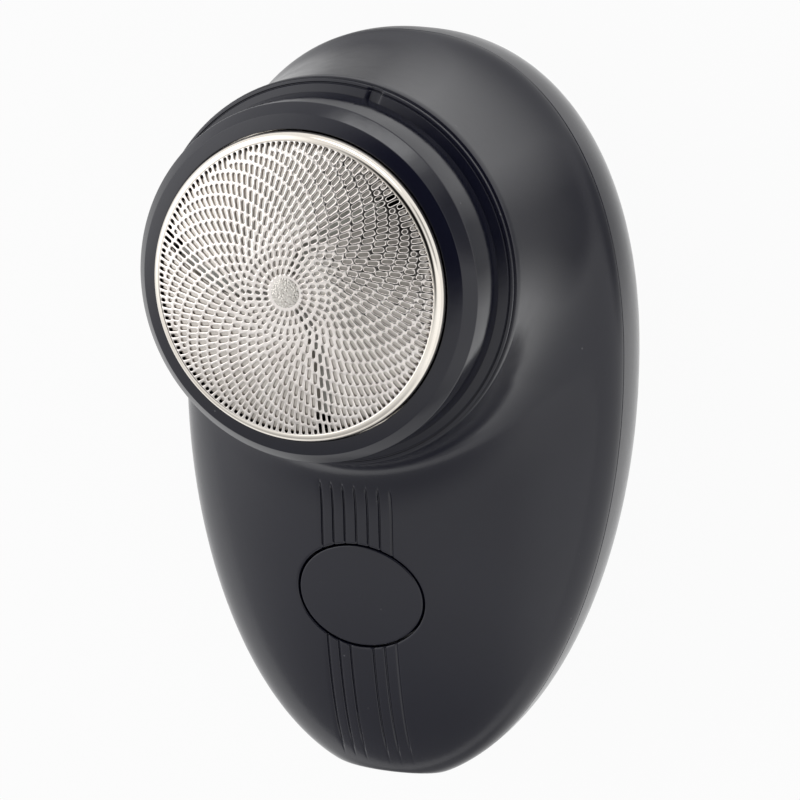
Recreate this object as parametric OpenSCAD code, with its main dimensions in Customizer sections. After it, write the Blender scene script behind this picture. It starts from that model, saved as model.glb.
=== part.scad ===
// Palm-sized rotary shaver, lying on its back: +Z points out of the shaving head,
// +Y towards the broad end, and the narrow end carries the charging socket.
// Lengths are in millimetres.

/* [Casing] */
// Width across the widest line
body_w = 46.6; // [44:0.2:54]
// From the widest line to the broad end
top_len = 34.1; // [33.4:0.1:40]
// From the widest line to the flat narrow end
tip_len = 41.3; // [39:0.1:50]
// How far past the flat the narrow end would close
tip_close = 1.2; // [0.8:0.1:2]
// Depth of the front shell's dome above the parting line
front_depth = 12.3; // [12:0.1:14]
// Height cut off the rear shell's dome, which leaves the resting flat
rest_flat = 0.35; // [0.2:0.05:0.8]
// Wall thickness of both shells
wall = 1.6; // [1.2:0.1:2]
// Wall thickness behind the flat narrow end
tip_wall = 2.8; // [2.4:0.1:3.6]
// Fullness of the outline at the broad end, where 2 is an ellipse
top_round = 2.25; // [2:0.05:2.6]
// Fullness of the outline at the narrow end
tip_round = 2; // [1.9:0.05:2.3]
// Fullness of the front dome
front_round = 1.8; // [1.7:0.05:2]
// Fullness of the back
rear_round = 2.6; // [2.3:0.05:2.8]

/* [Neck and head] */
// Head axis, from the widest line towards the broad end
head_off = 13.2; // [12.4:0.1:13.4]
// Height of the foil's rim above the parting line
rim_h = 27; // [26.6:0.1:30]
// Radius of the shell's neck at its edge
neck_r = 19.05; // [18.8:0.05:19.3]
// Depth of the neck's edge below the foil's rim
neck_drop = 7.95; // [7.6:0.05:9]
// Width of the hollow flare that runs from the neck into the dome
flare_w = 8; // [5:0.5:12]
// Hollowness of the flare, where 2 is an elliptic fillet
flare_hollow = 2.6; // [2:0.1:3.5]
// Outer radius of the neck collar's flange
collar_r = 18.85; // [18.6:0.05:19]
// Thickness of the neck collar's flange
collar_flange = 0.65; // [0.5:0.05:1]
// Width of the raised lip round the flange
collar_lip = 0.65; // [0.4:0.05:1]
// Depth of the recess inside the lip
collar_recess = 0.35; // [0.2:0.05:0.5]
// Wall thickness of the collar's tube
collar_wall = 0.85; // [0.7:0.05:1]
// Radius of the head ring
ring_r = 17.5; // [17.1:0.1:17.9]
// Depth of the head ring's skirt below the foil's rim
ring_h = 6.6; // [6:0.1:7]
// Radius where the ring's face meets its chamfer
ring_face_r = 16.3; // [16:0.1:16.6]
// Drop of the ring's face from the foil to the chamfer
ring_face_drop = 0.58; // [0.3:0.05:0.8]
// Depth of the ring's chamfer below the foil's rim
ring_chamfer_h = 2.3; // [1.8:0.1:3]
// Wall thickness of the ring's spigot
spigot_wall = 0.85; // [0.7:0.05:1]
// Depth of the spigot's end below the foil's rim
spigot_h = 10.5; // [9.5:0.1:11]

/* [Foil] */
// Radius of the foil's rim
foil_r = 15; // [14.6:0.1:15.2]
// Radius of the sphere that the foil is part of
foil_dome_r = 35.8; // [34:0.5:40]
// Height of the foil's crown above its rim
foil_rise = 3.55; // [3.2:0.05:4]
// Thickness of the foil
foil_t = 0.3; // [0.2:0.05:0.4]
// Radius where the perforation ends
slot_field_r = 14.2; // [13.6:0.1:14.3]
// Depth of the foil's skirt below its rim
foil_skirt = 2.9; // [2.4:0.1:3.4]
// Radius of the foil's flange inside the ring
foil_flange_r = 15.9; // [15.7:0.1:16]
// Radius of the rounded shoulder between the crown and the skirt
shoulder_r = 1; // [0.8:0.05:1.2]
// Number of curved arms of slots
arms = 24; // [18:1:26]
// Slots along one arm
arm_slots = 11; // [8:1:12]
// Radius of the arc that an arm follows
arm_r = 7.7; // [7.2:0.1:8.2]
// Distance of that arc's centre from the head axis
arm_centre = 6.85; // [6.4:0.05:7.2]
// Radius of the circle that every slot's line touches
lean_r = 3.3; // [2.5:0.1:3.5]
// Width of a slot
slot_w = 0.42; // [0.3:0.02:0.46]
// Width of the bridge between a slot and the next arm
slot_bridge = 0.3; // [0.2:0.02:0.4]
// Slots of the outer row on each arm
rim_slots = 4; // [3:1:4]
// Width of a slot of the outer row
rim_slot_w = 0.36; // [0.26:0.02:0.4]
// Radius of the smooth boss at the crown
boss_r = 1.6; // [1.2:0.1:1.8]

/* [Cutter and drive] */
// Gap between the foil and the blades
blade_gap = 0.15; // [0.1:0.05:0.3]
// Thickness of the blade disc
blade_t = 0.5; // [0.3:0.05:0.6]
// Radius of the blade disc
blade_r = 13; // [12:0.1:13.4]
// Width of the gaps between the three blades
blade_slit = 1.5; // [1:0.1:2]
// Thickness of the cutter carrier's dish
carrier_t = 1.2; // [0.8:0.1:1.6]
// Radius of the cutter carrier's dish
carrier_r = 12.2; // [11:0.1:12.6]
// Outer radius of the carrier's hub
carrier_hub_r = 3.3; // [3.1:0.1:3.8]
// How far the cutter gives way against its spring
cutter_float = 0.8; // [0.4:0.1:1]
// Side of the square drive
drive_square = 3.4; // [3:0.1:3.6]
// Clearance round the square drive
drive_gap = 0.15; // [0.1:0.05:0.2]
// Depth of the chamber floor below the foil's rim
chamber_h = 13.5; // [13:0.1:14.5]
// Thickness of the chamber floor
floor_t = 1.6; // [1.4:0.1:2]
// Wire diameter of the cutter spring
spring_wire = 0.4; // [0.3:0.05:0.45]
// Coils of the cutter spring
spring_turns = 4; // [3:1:4]

/* [Grooves down the front] */
// Distance between neighbouring grooves
groove_pitch = 1.24; // [1:0.02:1.4]
// Grooves on each side of the middle one
groove_pairs = 3; // [1:1:4]
// Width of a groove
groove_w = 0.3; // [0.2:0.05:0.5]
// Depth of a groove
groove_d = 0.2; // [0.1:0.05:0.4]
// Distance from the neck's edge to the grooves' upper ends
groove_start = 2.6; // [1:0.2:6]
// Distance from the narrow end to the grooves' lower ends
groove_end = 2.4; // [1:0.2:10]

/* [Motor] */
// Width of the motor can over its round sides
motor_w = 20.4; // [18:0.2:21]
// Thickness of the motor can across its flats
motor_flat = 15.4; // [14:0.2:16]
// Length of the motor can
motor_len = 21.5; // [19:0.5:22]
// Thickness of the motor's end cap
end_cap_t = 2; // [1.5:0.1:2.2]
// Sheet thickness of the motor can
can_t = 0.8; // [0.6:0.1:1]
// Radius of the motor shaft
shaft_r = 1; // [0.75:0.05:1.2]
// Distance between the two motor screws
motor_screw_pitch = 12; // [11:0.5:13]
// Radius of the armature
armature_r = 5.6; // [5:0.1:5.8]
// Room under the motor's end cap, down to the resting flat
motor_room = 5.05; // [4.8:0.05:6]

/* [Button and switch] */
// Distance of the button's centre from the widest line towards the tip
button_off = 21.2; // [20.6:0.1:22]
// Half the button's width
button_rx = 6.5; // [6:0.1:6.8]
// Half the button's height
button_ry = 5.2; // [4.8:0.1:5.4]
// Groove between the button and the shell
button_gap = 0.28; // [0.2:0.02:0.4]
// How far the button lies below the dome
button_sink = 0.1; // [0:0.05:0.3]
// Wall thickness of the guide round the button
guide_wall = 1.2; // [1:0.1:1.6]
// Height of the guide's lower end above the parting line
guide_z = 6.8; // [6.6:0.1:7]
// Thickness of the button's flange
flange_t = 0.8; // [0.6:0.1:1]
// Travel of the button
button_travel = 0.5; // [0.3:0.05:0.6]
// Side of the square switch
switch_w = 6; // [5:0.5:7]
// Height of the switch's case
switch_h = 3.1; // [2.6:0.1:3.2]
// Height of the plunger above the switch's case
plunger_h = 0.9; // [0.8:0.05:1.1]
// Radius of the switch's plunger
plunger_r = 1.75; // [1.5:0.05:1.9]

/* [Board, socket and battery] */
// Height of the board's underside above the parting line
board_z = 0.6; // [0.5:0.1:1]
// Thickness of the board
board_t = 1; // [0.8:0.1:1.2]
// Gap between the board's edge and the casing
board_gap = 2; // [1.8:0.1:2.4]
// Distance of the two board screws from the middle
board_screw_x = 13.4; // [13.2:0.1:13.6]
// Width of the charging socket
socket_w = 8.94; // [8:0.02:9]
// Height of the charging socket
socket_h = 3.2; // [2.8:0.1:3.26]
// Length of the charging socket
socket_len = 7.4; // [6.5:0.1:8]
// Sheet thickness of the charging socket
socket_t = 0.35; // [0.25:0.05:0.4]
// Clearance round the socket in the casing
socket_gap = 0.12; // [0.08:0.02:0.2]
// Width of the battery
battery_w = 20; // [17:0.5:20]
// Length of the battery
battery_len = 24; // [20:0.5:25]
// Thickness of the battery
battery_t = 5.5; // [4:0.1:6]
// Distance from the widest line to the battery's near end
battery_off = 4.5; // [4:0.1:6]
// Gap between the board and the battery
battery_gap = 2.2; // [1.6:0.1:2.6]
// Thickness of the foam pad under the battery
pad_t = 0.8; // [0.5:0.1:1]

/* [Fits] */
// Radial clearance of the head in the collar
head_fit = 0.1; // [0.08:0.01:0.15]
// Radial clearance of parts that stay put
seat_fit = 0.1; // [0.05:0.01:0.15]
// Radial clearance of the turning shaft
shaft_fit = 0.05; // [0.03:0.01:0.08]

/* [Hidden] */

// The rear shell is as deep as the upright motor needs, before its resting flat is cut
rear_depth = chamber_h + floor_t + motor_len + end_cap_t + motor_room - rim_h + rest_flat;

// Heights and places that follow from the sizes above
part_z = rear_depth - rest_flat;
wide_y = (tip_len - top_len) / 2;
head_y = wide_y + head_off;
tip_y = wide_y - tip_len;
rim_z = part_z + rim_h;
neck_z = rim_z - neck_drop;
collar_top_z = neck_z + collar_flange;
ring_foot_z = rim_z - ring_h;
spigot_z = rim_z - spigot_h;
floor_z = rim_z - chamber_h;
motor_z = floor_z - floor_t;
motor_foot_z = motor_z - motor_len - end_cap_t;
spigot_r = collar_r - 1.95;
tube_r = spigot_r + head_fit + collar_wall;
neck_bore_r = tube_r + seat_fit;
neck_ledge = 1.35;
foil_centre_z = rim_z + foil_rise - foil_dome_r;
blade_dome_r = foil_dome_r - foil_t - blade_gap;
carrier_dome_r = blade_dome_r - blade_t;
button_y = wide_y - button_off;
guide_foot_z = part_z + guide_z;
button_foot_z = guide_foot_z - flange_t;
board_foot_z = part_z + board_z;
board_top_z = board_foot_z + board_t;
switch_top_z = board_top_z + switch_h;
plunger_top_z = switch_top_z + plunger_h;
battery_top_z = board_foot_z - battery_gap;
battery_foot_z = battery_top_z - battery_t;
battery_y = wide_y - battery_off - battery_len / 2;
socket_z = board_foot_z - socket_h / 2;
shell_screw_x = motor_w / 2 + 3;
dog_foot_z = floor_z + 0.6;
dog_flange_h = 0.8;
dog_hub_h = 1.5;
dog_square_z = dog_foot_z + dog_flange_h + dog_hub_h;
dog_top_z = dog_square_z + 5.1;
dog_flange_r = 3.7;
dog_hub_r = 2.4;
carrier_foot_z = dog_square_z + cutter_float + 0.4;
carrier_roof_z = dog_top_z + cutter_float + 0.3;
screw_r = 1;
screw_head_r = 1.9;
screw_head_h = 1.2;
board_screw_r = 0.8;
thread_fit = 0.05;
press_fit = 0.01;
motor_boss_r = 3;
stake_r = 0.8;
stake_at = 8;
slit_turn = -40;
lead_r = 0.5;
lead_x = 4;
terminal_off = 6;
terminal_h = 1.5;
terminal_w = 2;
terminal_t = 0.4;
terminal_gap = 0.05;
cap_spigot_h = 1.5;
motor_lead_lie = 13.8;
screw_len = 6;
post_r = 2.3;
board_post_r = 2;
board_screw_len = 4;
board_head_r = 1.5;
board_head_h = 1;
flange_w = 0.8;
flange_l = 0.7;
stem_r = plunger_r - 0.2;
plunger_seat_h = 1.1;
chip_len = 4;
chip_w = 5;
chip_h = 1.2;
chip_off = 28.5;
driver_w = 3.2;
driver_h = 1;
capacitor_w = 1.6;
capacitor_h = 0.8;
chip_gap = 6;
socket_recess = 0.3;
arm_lead = 37.2;
arm_start = -15;
arm_step = 8.2;
arm_spread = 0.12;
rim_row_len = 0.97;
rim_row_step = 0.2;
rim_row_turn = 3.1;
crown_row_pitch = 0.9;

// ---------- casing forms ----------

function signed_pow(v, e) = sign(v) * pow(abs(v), e);

// Sizes of one egg: half width, broad length, narrow length, depth, depth fullness
function egg(inset, tip_inset, depth, round) =
    [body_w / 2 - inset, top_len - inset, tip_len + tip_close - tip_inset, depth, round];

// A point of the parting outline at turn t, measured from the widest line's middle
function outline(e, t) =
    let (n = sin(t) >= 0 ? top_round : tip_round, len = sin(t) >= 0 ? e[1] : e[2])
    [e[0] * signed_pow(cos(t), 2 / n), len * signed_pow(sin(t), 2 / n)];

// How far out a point lies: 0 on the middle, 1 on the outline
function share(e, p) =
    let (n = p[1] >= 0 ? top_round : tip_round, len = p[1] >= 0 ? e[1] : e[2])
    pow(pow(abs(p[0]) / e[0], n) + pow(abs(p[1]) / len, n), 1 / n);

function dome(e, p) = e[3] * pow(max(0, 1 - pow(min(1, share(e, p)), e[4])), 1 / e[4]);

// Share of the neck's height that is left at distance d from the neck, on a ray of length len
function flare(d, len) =
    let (u = min(1, d / min(flare_w, len)))
    1 - pow(1 - pow(1 - u, flare_hollow), 1 / flare_hollow);

// Closed solid between ring lists of equal length, capped at both ends
module ring_solid(rings) {
    n = len(rings[0]);
    m = len(rings);
    sides = [for (j = [0:m - 2]) for (i = [0:n - 1]) let (k = (i + 1) % n)
        each [[j * n + i, (j + 1) * n + k, j * n + k], [j * n + i, (j + 1) * n + i, (j + 1) * n + k]]];
    foot = [[for (i = [0:n - 1]) i]];
    head = [[for (i = [n - 1:-1:0]) (m - 1) * n + i]];
    polyhedron([for (r = rings) each r], concat(sides, foot, head));
}

// Half an egg on the parting plane: side is 1 for the front and -1 for the rear.
// It reaches over past the parting plane, so that a cavity cuts cleanly.
module half_egg(e, side, over, facets, steps) {
    places = [for (i = [0:facets - 1]) outline(e, 360 * i / facets)];
    levels = [for (j = [0:steps]) 90 * j / steps * 0.97];
    rings = concat(
        over > 0 ? [[for (p = places) [p[0], p[1] + wide_y, part_z - side * over]]] : [],
        [for (a = levels) let (k = pow(cos(a), 2 / e[4]), z = pow(sin(a), 2 / e[4]))
            [for (p = places) [p[0] * k, p[1] * k + wide_y, part_z + side * e[3] * z]]]);
    ordered = side > 0 ? rings : [for (j = [len(rings) - 1:-1:0]) rings[j]];
    ring_solid(ordered);
}

// The front's outer form: rays from the neck's edge to the outline, flared into the dome
module front_form(e, facets, steps) {
    places = [for (i = [0:facets - 1]) outline(e, 360 * i / facets)];
    rings = [for (j = [0:steps]) [for (p = places)
        let (ray = p - [0, head_off], reach = norm(ray), edge = ray * neck_r / reach + [0, head_off],
            s = (1 - cos(180 * j / steps)) / 2, at = p + (edge - p) * s,
            rise = neck_z - part_z - dome(e, edge))
        [at[0], at[1] + wide_y,
            part_z + (j == 0 ? 0 : dome(e, at) + rise * flare((1 - s) * (reach - neck_r), reach - neck_r))]]];
    ring_solid(rings);
}

// Upright post or bore of the head axis
module on_head(z) {
    translate([0, head_y, z]) children();
}

module shell_screw_places() {
    for (s = [-1, 1]) on_head(0) translate([s * shell_screw_x, 0, 0]) children();
}

module board_screw_places() {
    for (s = [-1, 1]) translate([s * board_screw_x, battery_y, 0]) children();
}

// Slot with round ends along X, width and height over all
module stadium(w, h, len) {
    for (s = [-1, 1]) translate([s * (w - h) / 2, 0, 0]) cylinder(d = h, h = len, $fn = 32);
    translate([-(w - h) / 2, -h / 2, 0]) cube([w - h, h, len]);
}

module socket_opening() {
    translate([0, tip_y - 1, socket_z]) rotate([-90, 0, 0])
        stadium(socket_w + 2 * socket_gap, socket_h + 2 * socket_gap, tip_wall + 4);
}

module tip_cut() {
    translate([-body_w, tip_y - body_w, -body_w]) cube([2 * body_w, body_w, 4 * body_w]);
}

module oval(rx, ry, h) {
    translate([0, button_y, 0]) linear_extrude(h) scale([1, ry / rx]) circle(rx, $fn = 64);
}

// ---------- casing ----------

outer_front = egg(0, 0, front_depth, front_round);
inner_front = egg(wall, tip_wall, front_depth - wall, front_round);
outer_rear = egg(0, 0, rear_depth, rear_round);
inner_rear = egg(wall, tip_wall, rear_depth - wall, rear_round);
mid_rear = egg(wall / 2, tip_wall / 2, rear_depth - wall / 2, rear_round);

// Height of the front's surface above the parting line, over a point between the neck and the tip
function front_height(p) =
    let (ray = p - [0, head_off], edge = ray * neck_r / norm(ray) + [0, head_off])
    dome(outer_front, p) + (neck_z - part_z - dome(outer_front, edge)) * flare(norm(ray) - neck_r, flare_w);

// Groove along the front at x, from one distance from the widest line to another, run out at the far end
module groove(x, from, to, fade) {
    steps = 7;
    ring_solid([for (j = [0:steps])
        let (y = from + (to - from) * j / steps, h = front_height([x, y]),
            low = h + 0.1 - (groove_d + 0.1) * min(1, abs(y - to) / fade))
        [for (p = [[-1, low], [1, low], [1, h + 1], [-1, h + 1]])
            [x + p[0] * groove_w / 2, y + wide_y, part_z + p[1]]]]);
}

module grooves() {
    for (k = [-groove_pairs:groove_pairs])
        groove(k * groove_pitch, head_off - neck_r - groove_start, -button_off, 0.1);
    for (k = [1:groove_pairs], s = [-1, 1])
        groove(s * k * groove_pitch, -button_off, groove_end - tip_len, 3);
}

module front_shell() {
    color([0.16, 0.17, 0.2]) difference() {
        front_form(outer_front, 64, 16);
        difference() {
            half_egg(inner_front, 1, 1, 48, 10);
            translate([0, 0, guide_foot_z])
                oval(button_rx + button_gap + guide_wall, button_ry + button_gap + guide_wall, rim_h);
        }
        translate([0, 0, part_z]) oval(button_rx + button_gap, button_ry + button_gap, rim_h);
        on_head(motor_z) cylinder(r = neck_bore_r, h = rim_h, $fn = 96);
        on_head(part_z - 1) cylinder(r = neck_bore_r - neck_ledge, h = rim_h, $fn = 96);
        socket_opening();
        tip_cut();
        grooves();
    }
}

// Posts for the screws, the motor's rest and the battery's ribs
module rear_supports() {
    shell_screw_places() cylinder(r = post_r, h = motor_z, $fn = 32);
    board_screw_places() cylinder(r = board_post_r, h = board_foot_z, $fn = 32);
    on_head(0) difference() {
        cylinder(r = 4.5, h = motor_foot_z, $fn = 48);
        cylinder(r = 3.3, h = motor_foot_z + 1, $fn = 48);
    }
    for (k = [-1, 0, 1]) translate([-battery_w / 2, battery_y + k * battery_len / 3 - 0.6, 0])
        cube([battery_w, 1.2, battery_foot_z - pad_t]);
}

module rear_shell() {
    color([0.14, 0.15, 0.18]) difference() {
        union() {
            difference() {
                half_egg(outer_rear, -1, 0, 64, 14);
                half_egg(inner_rear, -1, 1, 48, 10);
            }
            intersection() {
                half_egg(mid_rear, -1, rim_h, 64, 14);
                rear_supports();
            }
        }
        shell_screw_places() translate([0, 0, motor_z - screw_len - 2])
            cylinder(r = screw_r + thread_fit, h = screw_len + 3, $fn = 24);
        board_screw_places() translate([0, 0, board_foot_z - board_screw_len - 2])
            cylinder(r = board_screw_r + thread_fit, h = board_screw_len + 3, $fn = 24);
        socket_opening();
        tip_cut();
        translate([-body_w, -2 * body_w, -body_w]) cube([2 * body_w, 4 * body_w, body_w]);
    }
}

// ---------- head ----------

module neck_collar() {
    inner = spigot_r + head_fit;
    ledge = inner - spigot_wall;
    color([0.13, 0.14, 0.17]) on_head(0) rotate_extrude($fn = 96) polygon([
        [inner, spigot_z], [inner, collar_top_z - collar_recess],
        [collar_r - collar_lip, collar_top_z - collar_recess], [collar_r - collar_lip, collar_top_z],
        [collar_r - 0.15, collar_top_z], [collar_r, collar_top_z - 0.15], [collar_r, neck_z],
        [tube_r, neck_z], [tube_r, floor_z], [ledge, floor_z], [ledge, spigot_z]]);
}

module head_ring() {
    seat_r = spigot_r - spigot_wall;
    bore_r = foil_r + seat_fit;
    color([0.16, 0.17, 0.2]) on_head(0) rotate_extrude($fn = 96) polygon([
        [bore_r, rim_z], [ring_face_r, rim_z - ring_face_drop], [ring_r, rim_z - ring_chamfer_h],
        [ring_r, ring_foot_z], [spigot_r, ring_foot_z], [spigot_r, spigot_z + 0.3],
        [spigot_r - 0.3, spigot_z], [seat_r, spigot_z], [seat_r, rim_z - foil_skirt + foil_t],
        [bore_r, rim_z - foil_skirt + foil_t]]);
}

// Angle of an arm's slot on the arm's own arc; the slots draw apart towards the crown
function arm_turn(i) = arm_start - arm_step * i - arm_spread * i * i;
function arm_point(q) = arm_centre * [cos(arm_lead), sin(arm_lead)] + arm_r * [cos(q), sin(q)];
function lean(r) = asin(min(1, lean_r / r));

// Room between two arms along a slot's line, less the bridge
function slot_len(q, r) =
    let (g = q - arm_lead, slope = -arm_centre * sin(g) / (arm_centre * cos(g) + arm_r))
    2 * PI * slope * r / arms / (cos(lean(r)) + slope * sin(lean(r))) - slot_bridge;

module slot(r, turn, len, w) {
    rotate(turn) translate([r, 0, 0]) rotate(-lean(r)) cube([len, w, 3 * foil_rise], center = true);
}

module arm_row() {
    for (i = [0:arm_slots - 1]) let (q = arm_turn(i), p = arm_point(q), r = norm(p))
        slot(r, atan2(p[1], p[0]), slot_len(q, r), slot_w);
    for (j = [0:rim_slots - 1]) let (inner = slot_field_r - rim_row_len + j * rim_row_step)
        slot((slot_field_r + inner) / 2, rim_row_turn + j * 360 / arms / rim_slots,
            slot_field_r - inner, rim_slot_w);
}

module crown_rows() {
    for (g = [0, 1]) let (r = boss_r + crown_row_pitch * (g + 0.5), n = 6 * (g + 2))
        for (k = [0:n - 1]) rotate(360 * (k + g / 2) / n)
            translate([r, 0, 0]) cube([crown_row_pitch - slot_bridge, slot_w, 3 * foil_rise], center = true);
}

module foil() {
    edge_r = foil_r - 0.8 * shoulder_r;
    edge_h = foil_rise - foil_dome_r + sqrt(pow(foil_dome_r, 2) - pow(edge_r, 2));
    mid = [foil_r - shoulder_r, edge_h - 0.98 * shoulder_r];
    turns = [for (a = [0:15:75]) a];
    in_r = shoulder_r - foil_t;
    color([0.82, 0.8, 0.77]) on_head(rim_z) {
        rotate_extrude($fn = 96) polygon(concat(
            [for (a = turns) mid + shoulder_r * [cos(a), sin(a)]],
            [[edge_r, edge_h], [edge_r, edge_h - foil_t]],
            [for (k = [len(turns) - 1:-1:0]) mid + in_r * [cos(turns[k]), sin(turns[k])]],
            [[foil_r - foil_t, -foil_skirt], [foil_flange_r, -foil_skirt],
                [foil_flange_r, foil_t - foil_skirt], [foil_r, foil_t - foil_skirt]]));
        difference() {
            intersection() {
                translate([0, 0, foil_rise - foil_dome_r]) difference() {
                    sphere(foil_dome_r, $fn = 96);
                    sphere(foil_dome_r - foil_t, $fn = 96);
                }
                cylinder(r = edge_r, h = 2 * foil_rise, $fn = 96);
            }
            for (k = [0:arms - 1]) rotate(360 * k / arms) arm_row();
            crown_rows();
        }
    }
}

module foil_retainer() {
    h = 2.1;
    color([0.85, 0.86, 0.84]) on_head(rim_z - foil_skirt - h) difference() {
        cylinder(r = spigot_r - spigot_wall - seat_fit, h = h, $fn = 96);
        translate([0, 0, -1]) cylinder(r = blade_r + 0.9, h = h + 2, $fn = 96);
    }
}

// ---------- cutter and drive ----------

// Dished shell that follows the foil
module dish(dome_r, t, r) {
    intersection() {
        translate([0, 0, foil_centre_z]) difference() {
            sphere(dome_r, $fn = 96);
            sphere(dome_r - t, $fn = 96);
        }
        translate([0, 0, rim_z - 3]) cylinder(r = r, h = rim_h, $fn = 96);
    }
}

// Three curved gaps that shear against the foil's arms
module slits(w) {
    sweep_r = 14;
    for (k = [0:2]) rotate(120 * k + slit_turn) mirror([0, 1, 0]) translate([0, sweep_r - 0.2, rim_z - 4])
        rotate(-82) rotate_extrude(angle = 60, $fn = 64) translate([sweep_r - w / 2, 0]) square([w, rim_h]);
}

module cutter_blades() {
    color([0.62, 0.62, 0.61]) on_head(0) difference() {
        dish(blade_dome_r, blade_t, blade_r);
        slits(blade_slit);
        for (k = [0:2]) rotate(120 * k) translate([stake_at, 0, 0])
            cylinder(r = stake_r + seat_fit, h = 2 * rim_z, $fn = 24);
    }
}

module cutter_carrier() {
    socket = drive_square + 2 * drive_gap;
    color([0.75, 0.76, 0.74]) on_head(0) difference() {
        union() {
            difference() {
                dish(carrier_dome_r, carrier_t, carrier_r);
                slits(blade_slit + 1);
            }
            intersection() {
                union() {
                    translate([0, 0, carrier_foot_z]) cylinder(r = carrier_hub_r, h = rim_h, $fn = 48);
                    for (k = [0:2]) rotate(120 * k) translate([0, -0.6, rim_z - 4]) cube([10, 1.2, rim_h]);
                }
                translate([0, 0, foil_centre_z]) sphere(carrier_dome_r - carrier_t / 2, $fn = 96);
            }
            intersection() {
                for (k = [0:2]) rotate(120 * k) translate([stake_at, 0, rim_z - 2])
                    cylinder(r = stake_r, h = rim_h, $fn = 24);
                translate([0, 0, foil_centre_z]) sphere(blade_dome_r - 0.1, $fn = 96);
            }
        }
        translate([-socket / 2, -socket / 2, carrier_foot_z - 1])
            cube([socket, socket, carrier_roof_z - carrier_foot_z + 1]);
    }
}

module cutter_spring() {
    low = dog_foot_z + dog_flange_h + spring_wire / 2 + 0.02;
    high = carrier_foot_z - spring_wire / 2 - 0.02;
    coil_r = (dog_hub_r + carrier_hub_r) / 2 + 0.1;
    steps = 16 * spring_turns;
    color([0.7, 0.7, 0.7]) on_head(0) ring_solid([for (j = [0:steps])
        let (a = -360 * spring_turns * j / steps, z = low + (high - low) * j / steps)
        [for (i = [0:5]) let (b = 60 * i, r = coil_r + spring_wire / 2 * cos(b))
            [r * cos(a), r * sin(a), z + spring_wire / 2 * sin(b)]]]);
}

module drive_dog() {
    color([0.9, 0.9, 0.88]) on_head(0) difference() {
        union() {
            translate([0, 0, dog_foot_z]) cylinder(r = dog_flange_r, h = dog_flange_h, $fn = 48);
            translate([0, 0, dog_foot_z]) cylinder(r = dog_hub_r, h = dog_square_z - dog_foot_z, $fn = 48);
            translate([-drive_square / 2, -drive_square / 2, dog_square_z])
                cube([drive_square, drive_square, dog_top_z - dog_square_z]);
        }
        translate([0, 0, dog_foot_z - 1])
            cylinder(r = shaft_r + press_fit, h = dog_top_z - dog_foot_z, $fn = 32);
    }
}

// ---------- motor ----------

module double_d(inset, h) {
    intersection() {
        cylinder(r = motor_w / 2 - inset, h = h, $fn = 96);
        translate([-motor_w, inset - motor_flat / 2, 0]) cube([2 * motor_w, motor_flat - 2 * inset, h]);
    }
}

module motor_screw_places() {
    for (s = [-1, 1]) translate([s * motor_screw_pitch / 2, 0, 0]) children();
}

module motor_shaft() {
    low = motor_foot_z + 0.4;
    color([0.8, 0.8, 0.8]) on_head(low) cylinder(r = shaft_r, h = dog_top_z - 1.2 - low, $fn = 32);
}

module motor_armature() {
    core_h = 0.5 * motor_len;
    color([0.6, 0.38, 0.2]) on_head(motor_z - 0.8 * motor_len) difference() {
        union() {
            translate([0, 0, 0.15 * motor_len]) cylinder(r = armature_r, h = core_h, $fn = 64);
            cylinder(r = 2.2, h = 0.7 * motor_len, $fn = 32);
        }
        for (k = [0:2]) rotate(120 * k + 60) translate([2.6, -0.8, 0]) cube([armature_r, 1.6, motor_len]);
        translate([0, 0, -1]) cylinder(r = shaft_r + press_fit, h = motor_len, $fn = 32);
    }
}

module motor_can() {
    color([0.72, 0.72, 0.7]) on_head(motor_z - motor_len) difference() {
        union() {
            double_d(0, motor_len);
            translate([0, 0, motor_len]) cylinder(r = motor_boss_r, h = 1.2, $fn = 48);
        }
        translate([0, 0, -1]) double_d(can_t, motor_len - can_t + 1);
        cylinder(r = shaft_r + shaft_fit, h = 2 * motor_len, $fn = 32);
        motor_screw_places() cylinder(r = screw_r + thread_fit, h = 2 * motor_len, $fn = 32);
    }
}

module motor_magnets() {
    h = 0.6 * motor_len;
    color([0.25, 0.25, 0.27]) on_head(motor_z - 0.7 * motor_len) difference() {
        double_d(can_t + 0.02, h);
        translate([0, 0, -1]) cylinder(r = armature_r + 0.5, h = h + 2, $fn = 64);
        translate([-4, -motor_w, -1]) cube([8, 2 * motor_w, h + 2]);
    }
}

module motor_end_cap() {
    color([0.88, 0.88, 0.84]) on_head(motor_foot_z) difference() {
        union() {
            double_d(0, end_cap_t);
            translate([0, 0, end_cap_t]) double_d(can_t + seat_fit, cap_spigot_h);
        }
        translate([0, 0, -1]) cylinder(r = shaft_r + shaft_fit, h = motor_len, $fn = 32);
        terminal_places() translate([-terminal_w / 2 - terminal_gap, -terminal_t / 2 - terminal_gap, -1])
            cube([terminal_w + 2 * terminal_gap, terminal_t + 2 * terminal_gap, motor_len]);
    }
}

module terminal_places() {
    for (s = [-1, 1]) translate([s * lead_x, -terminal_off, 0]) children();
}

module motor_terminals() {
    color([0.8, 0.65, 0.3]) on_head(motor_foot_z) terminal_places()
        translate([-terminal_w / 2, -terminal_t / 2, -terminal_h])
            cube([terminal_w, terminal_t, terminal_h + end_cap_t]);
}

module screw(r, head_r, head_h, len) {
    cylinder(r = head_r, h = head_h, $fn = 32);
    translate([0, 0, -len]) cylinder(r = r, h = len, $fn = 32);
}

module motor_screws() {
    color([0.7, 0.7, 0.72]) on_head(floor_z) motor_screw_places()
        screw(screw_r, screw_head_r, screw_head_h, floor_t + can_t + 0.4);
}

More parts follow.
